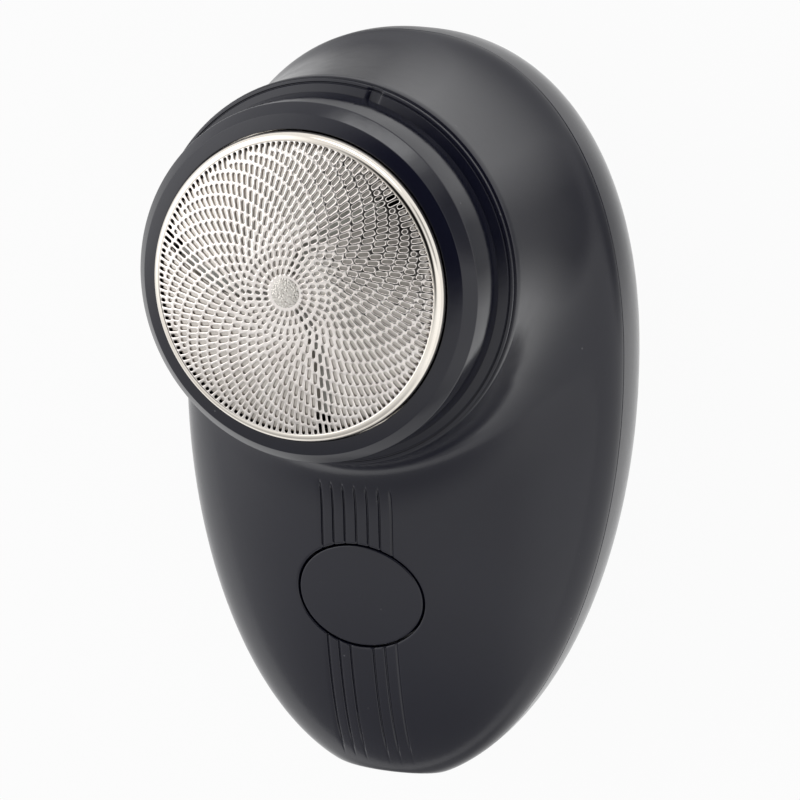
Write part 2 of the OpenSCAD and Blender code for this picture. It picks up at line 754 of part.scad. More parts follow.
module chamber_floor() {
    color([0.3, 0.31, 0.34]) on_head(motor_z) difference() {
        cylinder(r = tube_r, h = floor_t, $fn = 96);
        translate([0, 0, -1]) cylinder(r = motor_boss_r + seat_fit, h = floor_t + 2, $fn = 48);
        for (x = [-1, 1]) {
            translate([x * motor_screw_pitch / 2, 0, -1])
                cylinder(r = screw_r + seat_fit, h = floor_t + 2, $fn = 32);
            translate([x * shell_screw_x, 0, -1])
                cylinder(r = screw_r + seat_fit, h = floor_t + 2, $fn = 32);
        }
    }
}

module shell_screws() {
    color([0.7, 0.7, 0.72]) shell_screw_places() translate([0, 0, floor_z])
        screw(screw_r, screw_head_r, screw_head_h, floor_t + screw_len);
}

// ---------- button, switch and board ----------

module power_button() {
    color([0.16, 0.17, 0.2]) {
        intersection() {
            translate([0, 0, button_foot_z]) oval(button_rx, button_ry, rim_h);
            translate([0, 0, -button_sink]) half_egg(outer_front, 1, 0, 64, 14);
        }
        translate([0, 0, button_foot_z]) oval(button_rx + flange_w, button_ry + flange_l, flange_t);
        translate([0, button_y, plunger_top_z])
            cylinder(r = stem_r, h = button_foot_z - plunger_top_z + flange_t / 2, $fn = 32);
    }
}

module switch_body() {
    color([0.12, 0.12, 0.12]) translate([0, button_y, board_top_z]) difference() {
        translate([-switch_w / 2, -switch_w / 2, 0]) cube([switch_w, switch_w, switch_h]);
        translate([0, 0, switch_h - plunger_seat_h - button_travel - 0.1])
            cylinder(r = plunger_r + seat_fit, h = switch_h, $fn = 32);
    }
}

module switch_plunger() {
    color([0.85, 0.84, 0.8]) translate([0, button_y, switch_top_z - plunger_seat_h])
        cylinder(r = plunger_r, h = plunger_seat_h + plunger_h, $fn = 32);
}

module circuit_board() {
    e = egg(wall + board_gap, tip_wall + board_gap + 0.2, 1, 2);
    start = asin((battery_off + 0.5) / e[2]);
    color([0.1, 0.35, 0.2]) translate([0, wide_y, board_foot_z]) difference() {
        linear_extrude(board_t) polygon([for (k = [0:24])
            outline(e, 180 + start + (180 - 2 * start) * k / 24)]);
        translate([0, -wide_y, 0]) board_screw_places() translate([0, 0, -1])
            cylinder(r = board_screw_r + seat_fit, h = 3, $fn = 24);
    }
}

module board_chips() {
    color([0.15, 0.15, 0.16]) translate([0, wide_y, board_top_z]) {
        translate([-switch_w / 2 - chip_gap, -chip_off, 0]) cube([chip_w, chip_len, chip_h]);
        translate([chip_gap / 2, -chip_off - chip_len, 0]) cube([driver_w, chip_len, driver_h]);
        translate([chip_gap + capacitor_w, -chip_off, 0]) cube([capacitor_w, chip_len, capacitor_h]);
    }
}

module board_screws() {
    color([0.7, 0.7, 0.72]) board_screw_places() translate([0, 0, board_top_z])
        screw(board_screw_r, board_head_r, board_head_h, board_t + board_screw_len);
}

module charging_socket() {
    color([0.75, 0.75, 0.75]) translate([0, tip_y + socket_recess, socket_z]) rotate([-90, 0, 0])
        difference() {
            stadium(socket_w, socket_h, socket_len);
            translate([0, 0, -1])
                stadium(socket_w - 2 * socket_t, socket_h - 2 * socket_t, socket_len - socket_t + 1);
        }
}

module socket_tongue() {
    w = socket_w - 2.6;
    color([0.1, 0.1, 0.1]) translate([-w / 2, tip_y + socket_recess + 1, socket_z - 0.35])
        cube([w, socket_len - socket_t - 1, 0.7]);
}

// ---------- battery and leads ----------

module battery() {
    color([0.75, 0.77, 0.8]) translate([0, battery_y, battery_foot_z]) union() {
        translate([-battery_w / 2, -battery_len / 2, 0.8]) cube([battery_w, battery_len, battery_t - 1.6]);
        translate([0.8 - battery_w / 2, -battery_len / 2, 0]) cube([battery_w - 1.6, battery_len, battery_t]);
        for (s = [-1, 1], z = [0.8, battery_t - 0.8])
            translate([s * (battery_w / 2 - 0.8), -battery_len / 2, z]) rotate([-90, 0, 0])
                cylinder(r = 0.8, h = battery_len, $fn = 32);
    }
}

module battery_pad() {
    color([0.2, 0.2, 0.2]) translate([2 - battery_w / 2, battery_y - battery_len / 2 + 1, battery_foot_z - pad_t])
        cube([battery_w - 4, battery_len - 2, pad_t]);
}

// Lead in an upright plane at x, along points given as distance from the widest line and height
// above the parting line
module lead(x, route) {
    n = len(route);
    ring_solid([for (j = [0:n - 1])
        let (d = route[min(n - 1, j + 1)] - route[max(0, j - 1)], out = [-d[1], d[0]] / norm(d))
        [for (i = [0:7]) let (s = lead_r * cos(45 * i), u = -lead_r * sin(45 * i))
            [x + s, wide_y + route[j][0] + u * out[0], part_z + route[j][1] + u * out[1]]]]);
}

module battery_leads() {
    y = -battery_off;
    color([0.7, 0.1, 0.1]) for (x = [-1.6, 1.6])
        lead(x, [[y, -4], [y + 1.2, -4], [y + 2, -3.2], [y + 2.2, -1], [y + 2.2, 1.4], [y + 1.9, 2.6],
            [y + 0.8, 3.2], [y - 1, 3.2], [y - 2, 2.9], [y - 2.3, 2.3], [y - 2.3, 1.62]]);
}

module motor_leads() {
    y = head_off - terminal_off;
    foot = motor_foot_z - part_z;
    color([0.1, 0.1, 0.1]) for (x = [-lead_x, lead_x])
        lead(x, [[y - 0.6, foot - 1], [y - 1.8, foot - 0.8], [y - 3.2, foot + 0.6], [y - 3.6, foot + 4.6],
            [y - 3.8, -2], [y - 4.6, 1.4], [y - 6.4, 3], [y - 9, 3.6], [y - 12, 3.4], [y - 13.4, 2.9],
            [y - motor_lead_lie, 2.3], [y - motor_lead_lie, 1.62]]);
}

front_shell();
rear_shell();
neck_collar();
head_ring();
foil();
foil_retainer();
cutter_blades();
cutter_carrier();
cutter_spring();
drive_dog();
motor_shaft();
motor_armature();
motor_can();
motor_magnets();
motor_end_cap();
motor_terminals();
motor_screws();
chamber_floor();
shell_screws();
power_button();
switch_body();
switch_plunger();
circuit_board();
board_chips();
board_screws();
charging_socket();
socket_tongue();
battery();
battery_pad();
battery_leads();
motor_leads();
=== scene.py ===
import math
from collections import namedtuple

import bmesh
import bpy
import numpy as np
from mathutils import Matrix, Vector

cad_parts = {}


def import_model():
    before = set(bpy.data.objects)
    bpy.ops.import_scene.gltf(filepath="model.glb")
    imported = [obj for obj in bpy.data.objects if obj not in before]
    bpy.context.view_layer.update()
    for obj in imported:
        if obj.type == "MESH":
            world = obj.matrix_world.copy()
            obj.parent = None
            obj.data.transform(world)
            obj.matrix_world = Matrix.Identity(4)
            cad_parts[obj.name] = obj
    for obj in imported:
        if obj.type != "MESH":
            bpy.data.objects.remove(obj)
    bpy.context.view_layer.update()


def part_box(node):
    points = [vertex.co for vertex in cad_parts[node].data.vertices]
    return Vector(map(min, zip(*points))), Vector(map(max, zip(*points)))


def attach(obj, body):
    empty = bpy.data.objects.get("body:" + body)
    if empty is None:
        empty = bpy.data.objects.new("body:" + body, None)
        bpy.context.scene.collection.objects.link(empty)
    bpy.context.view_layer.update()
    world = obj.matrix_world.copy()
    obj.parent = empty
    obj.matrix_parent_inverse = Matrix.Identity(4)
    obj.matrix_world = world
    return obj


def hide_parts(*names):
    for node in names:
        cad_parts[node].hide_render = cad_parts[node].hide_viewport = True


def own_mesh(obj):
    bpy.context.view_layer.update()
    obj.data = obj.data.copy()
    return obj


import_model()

MM = 0.001

# ---------------------------------------- sizes, in millimetres
# casing
HALF_W = 23.3             # half the width, on the widest line
TOP_LEN = 34.1            # from the widest line to the broad end
TIP_LEN = 41.3            # from the widest line to the narrow end, once that is pressed flat
TIP_CLOSE = 1.2           # how much further the narrow end would reach if it were not
FRONT_DEPTH = 12.3
REAR_DEPTH = 17.0
REST_FLAT = 0.35          # how much of the rear is pressed flat to rest on
WALL = 1.6
TIP_WALL = 2.8
TOP_ROUND = 2.25          # exponents of the outline and domes: 2 is round, more is fuller
TIP_ROUND = 2.0
FRONT_ROUND = 1.8
REAR_ROUND = 2.6
PART_Z = REAR_DEPTH - REST_FLAT  # height of the parting line
WIDE_Y = (TIP_LEN - TOP_LEN) / 2  # the widest line
TIP_Y = WIDE_Y - TIP_LEN
# neck and head
HEAD_OFF = 13.2           # from the widest line to the head axis
HEAD_Y = WIDE_Y + HEAD_OFF
RIM_Z = PART_Z + 27.0
NECK_R = 19.05
NECK_Z = RIM_Z - 7.95
FLARE_W = 8.0
FLARE_HOLLOW = 2.6        # exponent of the hollow curve between neck and dome
FLOOR_Z = RIM_Z - 13.5    # top of the hair chamber's floor
FLOOR_T = 1.6
COLLAR_R = 18.85
COLLAR_WALL = 0.85
TUBE_R = 17.85
BORE_R = 17.95            # bore of the neck, round the collar's tube
BORE_LEDGE = 1.35
RING_R = 17.5
SPIGOT_R = 16.9           # the head's spigot, inside the collar's tube
SPIGOT_Z = RIM_Z - 10.5
# button and grooves
BUTTON_OFF = 21.2         # from the widest line to the button, toward the narrow end
HOLE_RX = 6.78
HOLE_RY = 5.48
LIP = 0.24                # radius of the hole's rounded lip
GROOVE_PITCH = 1.24
GROOVE_PAIRS = 3
GROOVE_HALF = 0.19        # half the width of a groove
GROOVE_D = 0.19           # its depth
GROOVES_TOP = (-10.1, -9.2)  # the upper grooves end between these
GROOVES_TIP = (-40.2, -36.5)  # the lower ones start between these
# socket and board
BOARD_Z = PART_Z + 0.6
BOARD_TOP = PART_Z + 1.6
SOCKET_W = 8.94
SOCKET_H = 3.2
SOCKET_T = 0.35
SOCKET_Z = BOARD_Z - SOCKET_H / 2
MOUTH_W = 9.18            # the opening for the socket in the casing
MOUTH_H = 3.44
# foil and cutter
FOIL_R = 15.0
FOIL_EDGE = 14.2          # where the dome ends and the rolled shoulder starts
FOIL_T = 0.1
FOIL_FLANGE = RIM_Z - 2.9  # underside of the flange that the retainer clips
DOME_R = 43.8
DOME_Z = RIM_Z + 3.5 - DOME_R  # centre of the dome's sphere
BLADE_R = 14.0
BLADE_T = 0.72
BLADE_DOWN = FOIL_T + 0.09  # from the foil's outside to the blades
CARRIER_R = 12.2
CARRIER_T = 1.2
CARRIER_HUB = 3.3
CARRIER_SOCKET = 3.7
CARRIER_FOOT = FLOOR_Z + 4.1
CARRIER_ROOF = FLOOR_Z + 9.1  # end of the square socket in the hub
SPRING_FOOT = FLOOR_Z + 1.4
AXIS_R = 0.02             # how close a turned profile comes to its axis


# ---------------------------------------- casing forms
Egg = namedtuple("Egg", "half_w top_len tip_len depth fullness")


def egg(inset, tip_inset, depth, fullness):
    """One half of the casing; tip_inset is the inset at the narrow end."""
    return Egg(HALF_W - inset, TOP_LEN - inset, TIP_LEN + TIP_CLOSE - tip_inset, depth, fullness)


OUTER_FRONT = egg(0, 0, FRONT_DEPTH, FRONT_ROUND)
INNER_FRONT = egg(WALL, TIP_WALL, FRONT_DEPTH - WALL, FRONT_ROUND)
OUTER_REAR = egg(0, 0, REAR_DEPTH, REAR_ROUND)
INNER_REAR = egg(WALL, TIP_WALL, REAR_DEPTH - WALL, REAR_ROUND)


def outline(form, t):
    """The outline at parameter t, as x and y from the widest line."""
    s, c = np.sin(t), np.cos(t)
    n = np.where(s >= 0, TOP_ROUND, TIP_ROUND)
    length = np.where(s >= 0, form.top_len, form.tip_len)
    x = form.half_w * np.sign(c) * np.abs(c) ** (2 / n)
    y = length * np.sign(s) * np.abs(s) ** (2 / n)
    return x, y


def share(form, x, y):
    """How far out a point lies: 0 in the middle, 1 on the outline."""
    n = np.where(y >= 0, TOP_ROUND, TIP_ROUND)
    length = np.where(y >= 0, form.top_len, form.tip_len)
    return ((np.abs(x) / form.half_w) ** n + (np.abs(y) / length) ** n) ** (1 / n)


def dome(form, x, y):
    """Distance from the parting line to the form's surface, at x and y from the widest line."""
    inside = 1 - np.minimum(1, share(form, x, y)) ** form.fullness
    return form.depth * np.maximum(0, inside) ** (1 / form.fullness)


def distance_to(form, at, low, high):
    """Distance from the head axis to a form's outline, found between low and high along lines whose
    x and y at(distance) gives."""
    for _ in range(50):
        mid = (low + high) / 2
        x, y = at(mid)
        out = share(form, x, HEAD_OFF + y) > 1
        high = np.where(out, mid, high)
        low = np.where(out, low, mid)
    return low


def flare(d, length):
    """The neck's hollow flare: 1 at the neck, 0 at its full width, or at the outline if nearer."""
    u = np.clip(d / np.minimum(FLARE_W, length), 0, 1)
    return 1 - (1 - (1 - u) ** FLARE_HOLLOW) ** (1 / FLARE_HOLLOW)


def front_at(x, y):
    """Height of the front's surface above the parting line, at x and y from the widest line."""
    a, r = np.arctan2(y - HEAD_OFF, x), np.hypot(x, y - HEAD_OFF)
    c, s = np.cos(a), np.sin(a)
    far = distance_to(OUTER_FRONT, lambda d: (d * c, d * s), 10.0, 70.0)
    rise = NECK_Z - PART_Z - dome(OUTER_FRONT, NECK_R * c, HEAD_OFF + NECK_R * s)
    return dome(OUTER_FRONT, r * c, HEAD_OFF + r * s) + rise * flare(r - NECK_R, far - NECK_R)


def smooth_floor(v, limit, r):
    """v, kept above limit, with a corner of radius about r."""
    return limit + r * np.logaddexp(0, (v - limit) / r)


def ramp(v, a, b):
    """A smooth step from 0 at a to 1 at b."""
    t = np.clip((v - a) / (b - a), 0, 1)
    return t * t * (3 - 2 * t)


def near(degrees, middle, gone, full):
    """1 within full degrees of the middle, 0 beyond gone degrees."""
    return ramp(-np.abs(degrees - middle), -gone, -full)


def rolled(distance, radius):
    """How far a quarter-round edge drops, at some distance in from it."""
    d = np.clip(distance, 0, radius)
    return radius - np.sqrt(np.maximum(0, radius**2 - (radius - d) ** 2))


def groove_depth(x, y):
    """Depth of the fine lines down the middle, above and below the button."""
    k = np.round(x / GROOVE_PITCH)
    off = np.minimum(1, np.abs(x - k * GROOVE_PITCH) / GROOVE_HALF)
    line = np.cos(off * math.pi / 2) ** 2 * (np.abs(k) <= GROOVE_PAIRS)
    last = np.where(k >= GROOVE_PAIRS, 0.8, 1)  # above, the line at the right is shallower
    above = (y > -BUTTON_OFF) * (1 - ramp(y, *GROOVES_TOP)) * last
    fading = np.where(k >= 2, 1.25 - 0.3 * (k - 1), 1)  # below, the two at the right are
    below = (y < -BUTTON_OFF) * (np.abs(k) >= 1) * ramp(y, *GROOVES_TIP) * fading
    return GROOVE_D * line * (above + below)


def hole_distance(x, y, rx=HOLE_RX, ry=HOLE_RY):
    """Signed distance from the edge of the button's hole, or of its cap, about right near that edge."""
    v = y + BUTTON_OFF
    g = np.sqrt((x / rx) ** 2 + (v / ry) ** 2) + 1e-9  # the small terms keep the centre from 0 / 0
    return g * (g - 1) / np.sqrt((x / rx**2) ** 2 + (v / ry**2) ** 2 + 1e-12)


# ---------------------------------------- mesh helpers
# A mesh is a pair: its points in millimetres, and its faces.
def as_mesh(name, mesh):
    """Blender's mesh of it, with its faces turned outward."""
    verts, faces = mesh
    me = bpy.data.meshes.new(name)
    me.from_pydata([tuple(v) for v in np.asarray(verts, float) * MM], [], faces)
    bm = bmesh.new()
    bm.from_mesh(me)
    bmesh.ops.recalc_face_normals(bm, faces=bm.faces)
    bm.to_mesh(me)
    bm.free()
    return me


def smooth(o, sharp):
    """Shades a piece smooth, but for edges of more than sharp degrees."""
    me = o.data
    me.polygons.foreach_set("use_smooth", [True] * len(me.polygons))
    me.set_sharp_from_angle(angle=math.radians(sharp))


def piece(name, mesh, body, finish, node, sharp=30):
    """Adds a piece that rides on a body and, if node is named, replaces that CAD node."""
    me = as_mesh(name, mesh)
    me.materials.append(finish)
    o = bpy.data.objects.new(name, me)
    bpy.context.collection.objects.link(o)
    smooth(o, sharp)
    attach(o, body)
    if node:
        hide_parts(node)
    return o


def moved(faces, base):
    """Faces, for points that come after base others."""
    return [tuple(i + base for i in f) for f in faces]


def joined(meshes):
    """Several meshes as one."""
    verts, faces = [], []
    for v, f in meshes:
        faces += moved(f, len(verts))
        verts += list(v)
    return verts, faces


def grid_faces(n, m):
    """Quads of m rings with n points each, open at both ends."""
    return [(j * n + i, j * n + (i + 1) % n, (j + 1) * n + (i + 1) % n, (j + 1) * n + i)
            for j in range(m - 1) for i in range(n)]


def capped_faces(n, m):
    """The same, closed by a face at each end."""
    return grid_faces(n, m) + [tuple(range(n)), tuple(range((m - 1) * n, m * n))]


def loop_faces(n, m):
    """Quads of a closed tube: the last ring joins the first."""
    return [(j * n + i, j * n + (i + 1) % n, ((j + 1) % m) * n + (i + 1) % n, ((j + 1) % m) * n + i)
            for j in range(m) for i in range(n)]


def fan_faces(base, n, tip):
    """Triangles from a ring of n points, the first of them numbered base, to the point numbered tip."""
    return [(base + i, base + (i + 1) % n, tip) for i in range(n)]


def cut(o, mesh, sharp=30):
    """Takes a closed mesh away from a piece, for good."""
    tool = bpy.data.objects.new("tool", as_mesh("tool", mesh))
    bpy.context.collection.objects.link(tool)
    mod = o.modifiers.new("cut", "BOOLEAN")
    mod.operation = "DIFFERENCE"
    mod.object = tool
    mod.solver = "MANIFOLD"
    graph = bpy.context.evaluated_depsgraph_get()
    graph.update()
    new = bpy.data.meshes.new_from_object(o.evaluated_get(graph))
    o.modifiers.clear()
    o.data = new
    used = tool.data
    bpy.data.objects.remove(tool)
    bpy.data.meshes.remove(used)
    smooth(o, sharp)


def prism(loop, low, high):
    """A closed loop of x and y drawn from low to high."""
    return [(x, y, z) for z in (low, high) for x, y in loop], capped_faces(len(loop), 2)


def turn_by(loop, degrees):
    """A loop of x and y turned about 0, 0."""
    c, s = math.cos(math.radians(degrees)), math.sin(math.radians(degrees))
    return [(x * c - y * s, x * s + y * c) for x, y in loop]


def rounded(corners):
    """A closed outline from corners of two coordinates and a radius; 0 leaves a corner as it is."""
    steps = 6  # sides of each rounded corner
    straight = math.radians(88)  # half the angle from which a corner counts as none
    most = 0.45  # how much of a side one corner may take
    out, n = [], len(corners)
    for i, (_, _, r) in enumerate(corners):
        a, b, c = (np.array(corners[(i + k) % n][:2], float) for k in (-1, 0, 1))
        u, v = (a - b) / np.linalg.norm(a - b), (c - b) / np.linalg.norm(c - b)
        half = math.acos(max(-1, min(1, float(u @ v)))) / 2
        if r <= 0 or half > straight:
            out.append(b)
            continue
        back = min(r / math.tan(half), most * np.linalg.norm(a - b), most * np.linalg.norm(c - b))
        r = back * math.tan(half)
        mid = b + (u + v) / np.linalg.norm(u + v) * (r / math.sin(half))
        p0, p1 = b + u * back - mid, b + v * back - mid
        a0, a1 = math.atan2(p0[1], p0[0]), math.atan2(p1[1], p1[0])
        sweep = (a1 - a0 + math.pi) % (2 * math.pi) - math.pi
        for k in range(steps + 1):
            turn = a0 + sweep * k / steps
            out.append(mid + r * np.array([math.cos(turn), math.sin(turn)]))
    return out


def turned(profile, n, shape=None):
    """A closed profile turned about the head axis in n steps; shape may move its points by angle."""
    a = np.arange(n) * 2 * math.pi / n
    rings = []
    for r, z in profile:
        rr, zz = np.full(n, float(r)), np.full(n, float(z))
        if shape:
            rr, zz = shape(a, rr, zz)
        rings.append(np.stack([rr * np.cos(a), HEAD_Y + rr * np.sin(a), zz], 1))
    return np.vstack(rings), loop_faces(n, len(profile))


# ---------------------------------------- materials
def start(name):
    m = bpy.data.materials.new(name)
    m.use_nodes = True
    return m, m.node_tree, m.node_tree.nodes["Principled BSDF"]


def noise(nt, scale, detail=2.0, stretch=(1, 1, 1)):
    tc = nt.nodes.new("ShaderNodeTexCoord")
    mp = nt.nodes.new("ShaderNodeMapping")
    mp.inputs["Scale"].default_value = stretch
    n = nt.nodes.new("ShaderNodeTexNoise")
    n.inputs["Scale"].default_value = scale
    n.inputs["Detail"].default_value = detail
    nt.links.new(tc.outputs["Object"], mp.inputs["Vector"])
    nt.links.new(mp.outputs["Vector"], n.inputs["Vector"])
    return n.outputs["Fac"]


def cells(nt, scale):
    tc = nt.nodes.new("ShaderNodeTexCoord")
    v = nt.nodes.new("ShaderNodeTexVoronoi")
    v.inputs["Scale"].default_value = scale
    nt.links.new(tc.outputs["Object"], v.inputs["Vector"])
    return v.outputs["Distance"]


def spread(nt, value, low, high, start_at=0.3, end_at=0.7):
    """A value that goes from low to high as another goes from start_at to end_at."""
    r = nt.nodes.new("ShaderNodeMapRange")
    ends = {"From Min": start_at, "From Max": end_at, "To Min": low, "To Max": high}
    for name, end in ends.items():
        r.inputs[name].default_value = end
    nt.links.new(value, r.inputs["Value"])
    return r.outputs["Result"]


def math_node(nt, operation, a, b):
    n = nt.nodes.new("ShaderNodeMath")
    n.operation = operation
    for socket, value in zip(n.inputs, (a, b)):
        if isinstance(value, (int, float)):
            socket.default_value = value
        else:
            nt.links.new(value, socket)
    return n.outputs[0]


def blend_colour(nt, fac, low, high):
    """A colour between two, each of them three numbers or another node's output."""
    mix = nt.nodes.new("ShaderNodeMix")
    mix.data_type = "RGBA"
    nt.links.new(fac, mix.inputs["Factor"])
    for socket, value in (("A", low), ("B", high)):
        target = [s for s in mix.inputs if s.name == socket and s.type == "RGBA"][0]
        if isinstance(value, tuple):
            target.default_value = (*value, 1)
        else:
            nt.links.new(value, target)
    return [s for s in mix.outputs if s.type == "RGBA"][0]


def bumped(nt, layers):
    """Bump in layers, each of a height, a distance in metres and a strength."""
    last = None
    for height, dist, strength in layers:
        b = nt.nodes.new("ShaderNodeBump")
        b.inputs["Distance"].default_value = dist
        b.inputs["Strength"].default_value = strength
        nt.links.new(height, b.inputs["Height"])
        if last is not None:
            nt.links.new(last, b.inputs["Normal"])
        last = b.outputs["Normal"]
    return last


def dressed(nt, p, colour, rough, layers):
    """Gives a surface its colour, roughness and bump."""
    nt.links.new(colour, p.inputs["Base Color"])
    nt.links.new(rough, p.inputs["Roughness"])
    nt.links.new(bumped(nt, layers), p.inputs["Normal"])


def plastic(name, low, high, rough, peel=0.00002, dusty=True):
    """Moulded plastic, slightly wavy and uneven in gloss, with a few specks of dust if dusty."""
    dust = (0.25, 0.25, 0.26)
    m, nt, p = start(name)
    base = blend_colour(nt, spread(nt, noise(nt, 90, 3), 0, 1), low, high)
    if dusty:
        speck = spread(nt, cells(nt, 260), 0.3, 0, 0.012, 0.035)
        base = blend_colour(nt, speck, base, dust)
    waves = (noise(nt, 70, 1), 0.0001, 0.12)
    skin = (noise(nt, 1400), peel, 0.25)
    dressed(nt, p, base, spread(nt, noise(nt, 700, 4), *rough), [waves, skin])
    return m


def metal(name, low, high, rough, grain=(1, 1, 1), scale=1800, depth=0.00001, strength=0.3):
    """Bare metal; grain scales its fine marks along x, y and z, and a small number draws them out."""
    m, nt, p = start(name)
    p.inputs["Metallic"].default_value = 1.0
    base = blend_colour(nt, spread(nt, noise(nt, 400, 3), 0, 1), low, high)
    marks = (noise(nt, scale, 2, grain), depth, strength)
    dressed(nt, p, base, spread(nt, noise(nt, scale, 3, grain), *rough), [marks])
    return m


def rubbery(name, low, high, rough, scale=900, depth=0.00005):
    """A matt, grainy surface."""
    m, nt, p = start(name)
    base = blend_colour(nt, spread(nt, noise(nt, scale, 4), 0, 1), low, high)
    grain = (noise(nt, scale, 3), depth, 0.5)
    dressed(nt, p, base, spread(nt, noise(nt, scale * 0.5), *rough), [grain])
    return m


def knurled(name, low, high, rough):
    """Bright metal with a pattern of fine dimples."""
    m, nt, p = start(name)
    p.inputs["Metallic"].default_value = 1.0
    dots = cells(nt, 5200)
    base = blend_colour(nt, spread(nt, dots, 0, 1, 0, 0.7), low, high)
    dressed(nt, p, base, spread(nt, noise(nt, 1500), *rough), [(dots, 0.00006, 0.8)])
    return m


CASING = plastic("casing_plastic", (0.0058, 0.0061, 0.0145), (0.007, 0.0075, 0.0168), (0.15, 0.2))
RING = plastic("ring_plastic", (0.0058, 0.0062, 0.014), (0.007, 0.0075, 0.0165), (0.1, 0.14))
FOIL = metal("foil_steel", (0.81, 0.76, 0.725), (0.89, 0.845, 0.81), (0.11, 0.18), depth=0.000004)
RIM = metal("rim_steel", (0.86, 0.80, 0.72), (0.9, 0.855, 0.785), (0.05, 0.09),
            depth=0.000001, strength=0.1)
BOSS = knurled("boss_steel", (0.88, 0.85, 0.8), (0.6, 0.57, 0.53), (0.2, 0.32))
BLADE = metal("blade_steel", (0.56, 0.525, 0.485), (0.66, 0.62, 0.575), (0.28, 0.4), (1, 1, 0.2))
STEEL = metal("spring_steel", (0.55, 0.55, 0.55), (0.68, 0.68, 0.67), (0.18, 0.3))
CAN = metal("motor_steel", (0.52, 0.52, 0.50), (0.66, 0.66, 0.64), (0.25, 0.4), (1, 1, 0.15))
SCREW = metal("screw_steel", (0.5, 0.5, 0.51), (0.66, 0.66, 0.68), (0.2, 0.35))
COPPER = metal("copper_winding", (0.5, 0.22, 0.09), (0.68, 0.34, 0.16), (0.3, 0.45),
               (1, 1, 14), 600, 0.00008, 0.8)
BRASS = metal("brass_contact", (0.7, 0.5, 0.2), (0.8, 0.62, 0.3), (0.2, 0.35))
GOLD = metal("gold_contact", (0.82, 0.6, 0.25), (0.9, 0.7, 0.35), (0.15, 0.25))
WRAP = metal("battery_foil", (0.62, 0.64, 0.66), (0.74, 0.76, 0.78), (0.3, 0.45),
             scale=500, depth=0.00006)
WHITE = plastic("white_plastic", (0.62, 0.62, 0.58), (0.7, 0.7, 0.66), (0.4, 0.5), dusty=False)
INNER = plastic("inner_plastic", (0.02, 0.022, 0.027), (0.03, 0.032, 0.037), (0.45, 0.6),
                0.00004, False)
BLACK = plastic("black_plastic", (0.01, 0.01, 0.01), (0.016, 0.016, 0.016), (0.35, 0.5), dusty=False)
MAGNET = rubbery("magnet_dark", (0.03, 0.03, 0.033), (0.06, 0.06, 0.065), (0.45, 0.6))
BOARD = plastic("board_green", (0.01, 0.06, 0.028), (0.018, 0.1, 0.045), (0.3, 0.4), 0.00003, False)
FOAM = rubbery("foam", (0.02, 0.02, 0.02), (0.05, 0.05, 0.05), (0.85, 0.95), 1500, 0.0002)
RED = plastic("lead_red", (0.35, 0.012, 0.01), (0.45, 0.02, 0.015), (0.35, 0.45), dusty=False)
DARK = plastic("lead_black", (0.012, 0.012, 0.012), (0.02, 0.02, 0.02), (0.35, 0.45), dusty=False)

# every CAD node's material, whether or not a piece below replaces the node
FINISHES = (
    (WHITE, "foil_retainer cutter_carrier drive_dog motor_end_cap switch_plunger"),
    (BLADE, "cutter_blades"),
    (STEEL, "cutter_spring motor_shaft"),
    (COPPER, "motor_armature"),
    (CAN, "motor_can charging_socket"),
    (MAGNET, "motor_magnets"),
    (BRASS, "motor_terminals"),
    (SCREW, "motor_screws shell_screws board_screws"),
    (INNER, "chamber_floor"),
    (BLACK, "switch_body board_chips socket_tongue"),
    (BOARD, "circuit_board"),
    (WRAP, "battery"),
    (FOAM, "battery_pad"),
    (RED, "battery_leads"),
    (DARK, "motor_leads"),
    (CASING, "front_shell rear_shell neck_collar power_button"),
    (RING, "head_ring"),
    (FOIL, "foil"))


# ---------------------------------------- casing
CASING_SHARP = 28         # degrees
STADIUM_N = 96            # points in the outline of a socket's mouth
LID_DEPTH = 1.0           # the button's hole has a lid until it is cut: how deep that lies,
LID_RISE = 0.15           # and how much higher its middle is
BLOCK_LOW = 41.6          # the patch round the hole lies between these, from the head axis
BLOCK_HIGH = 27.9


def press_tip(p):
    """Presses the narrow end flat, with rounded corners."""
    p[:, 1] = np.maximum(TIP_Y, smooth_floor(p[:, 1], TIP_Y, 0.12))
    return p


def stadium(w, h):
    """A round-ended slot's outline, as x and z."""
    out = []
    for i in range(STADIUM_N):
        b = 2 * math.pi * (i + 0.5) / STADIUM_N
        middle = math.copysign((w - h) / 2, math.cos(b))
        out.append((middle + h / 2 * math.cos(b), h / 2 * math.sin(b)))
    return out


def cut_socket_mouth(o):
    ends = (TIP_Y - 2, TIP_Y + 5)
    verts = [(x, y, SOCKET_Z + z) for y in ends for x, z in stadium(MOUTH_W, MOUTH_H)]
    cut(o, (verts, capped_faces(STADIUM_N, 2)), CASING_SHARP)


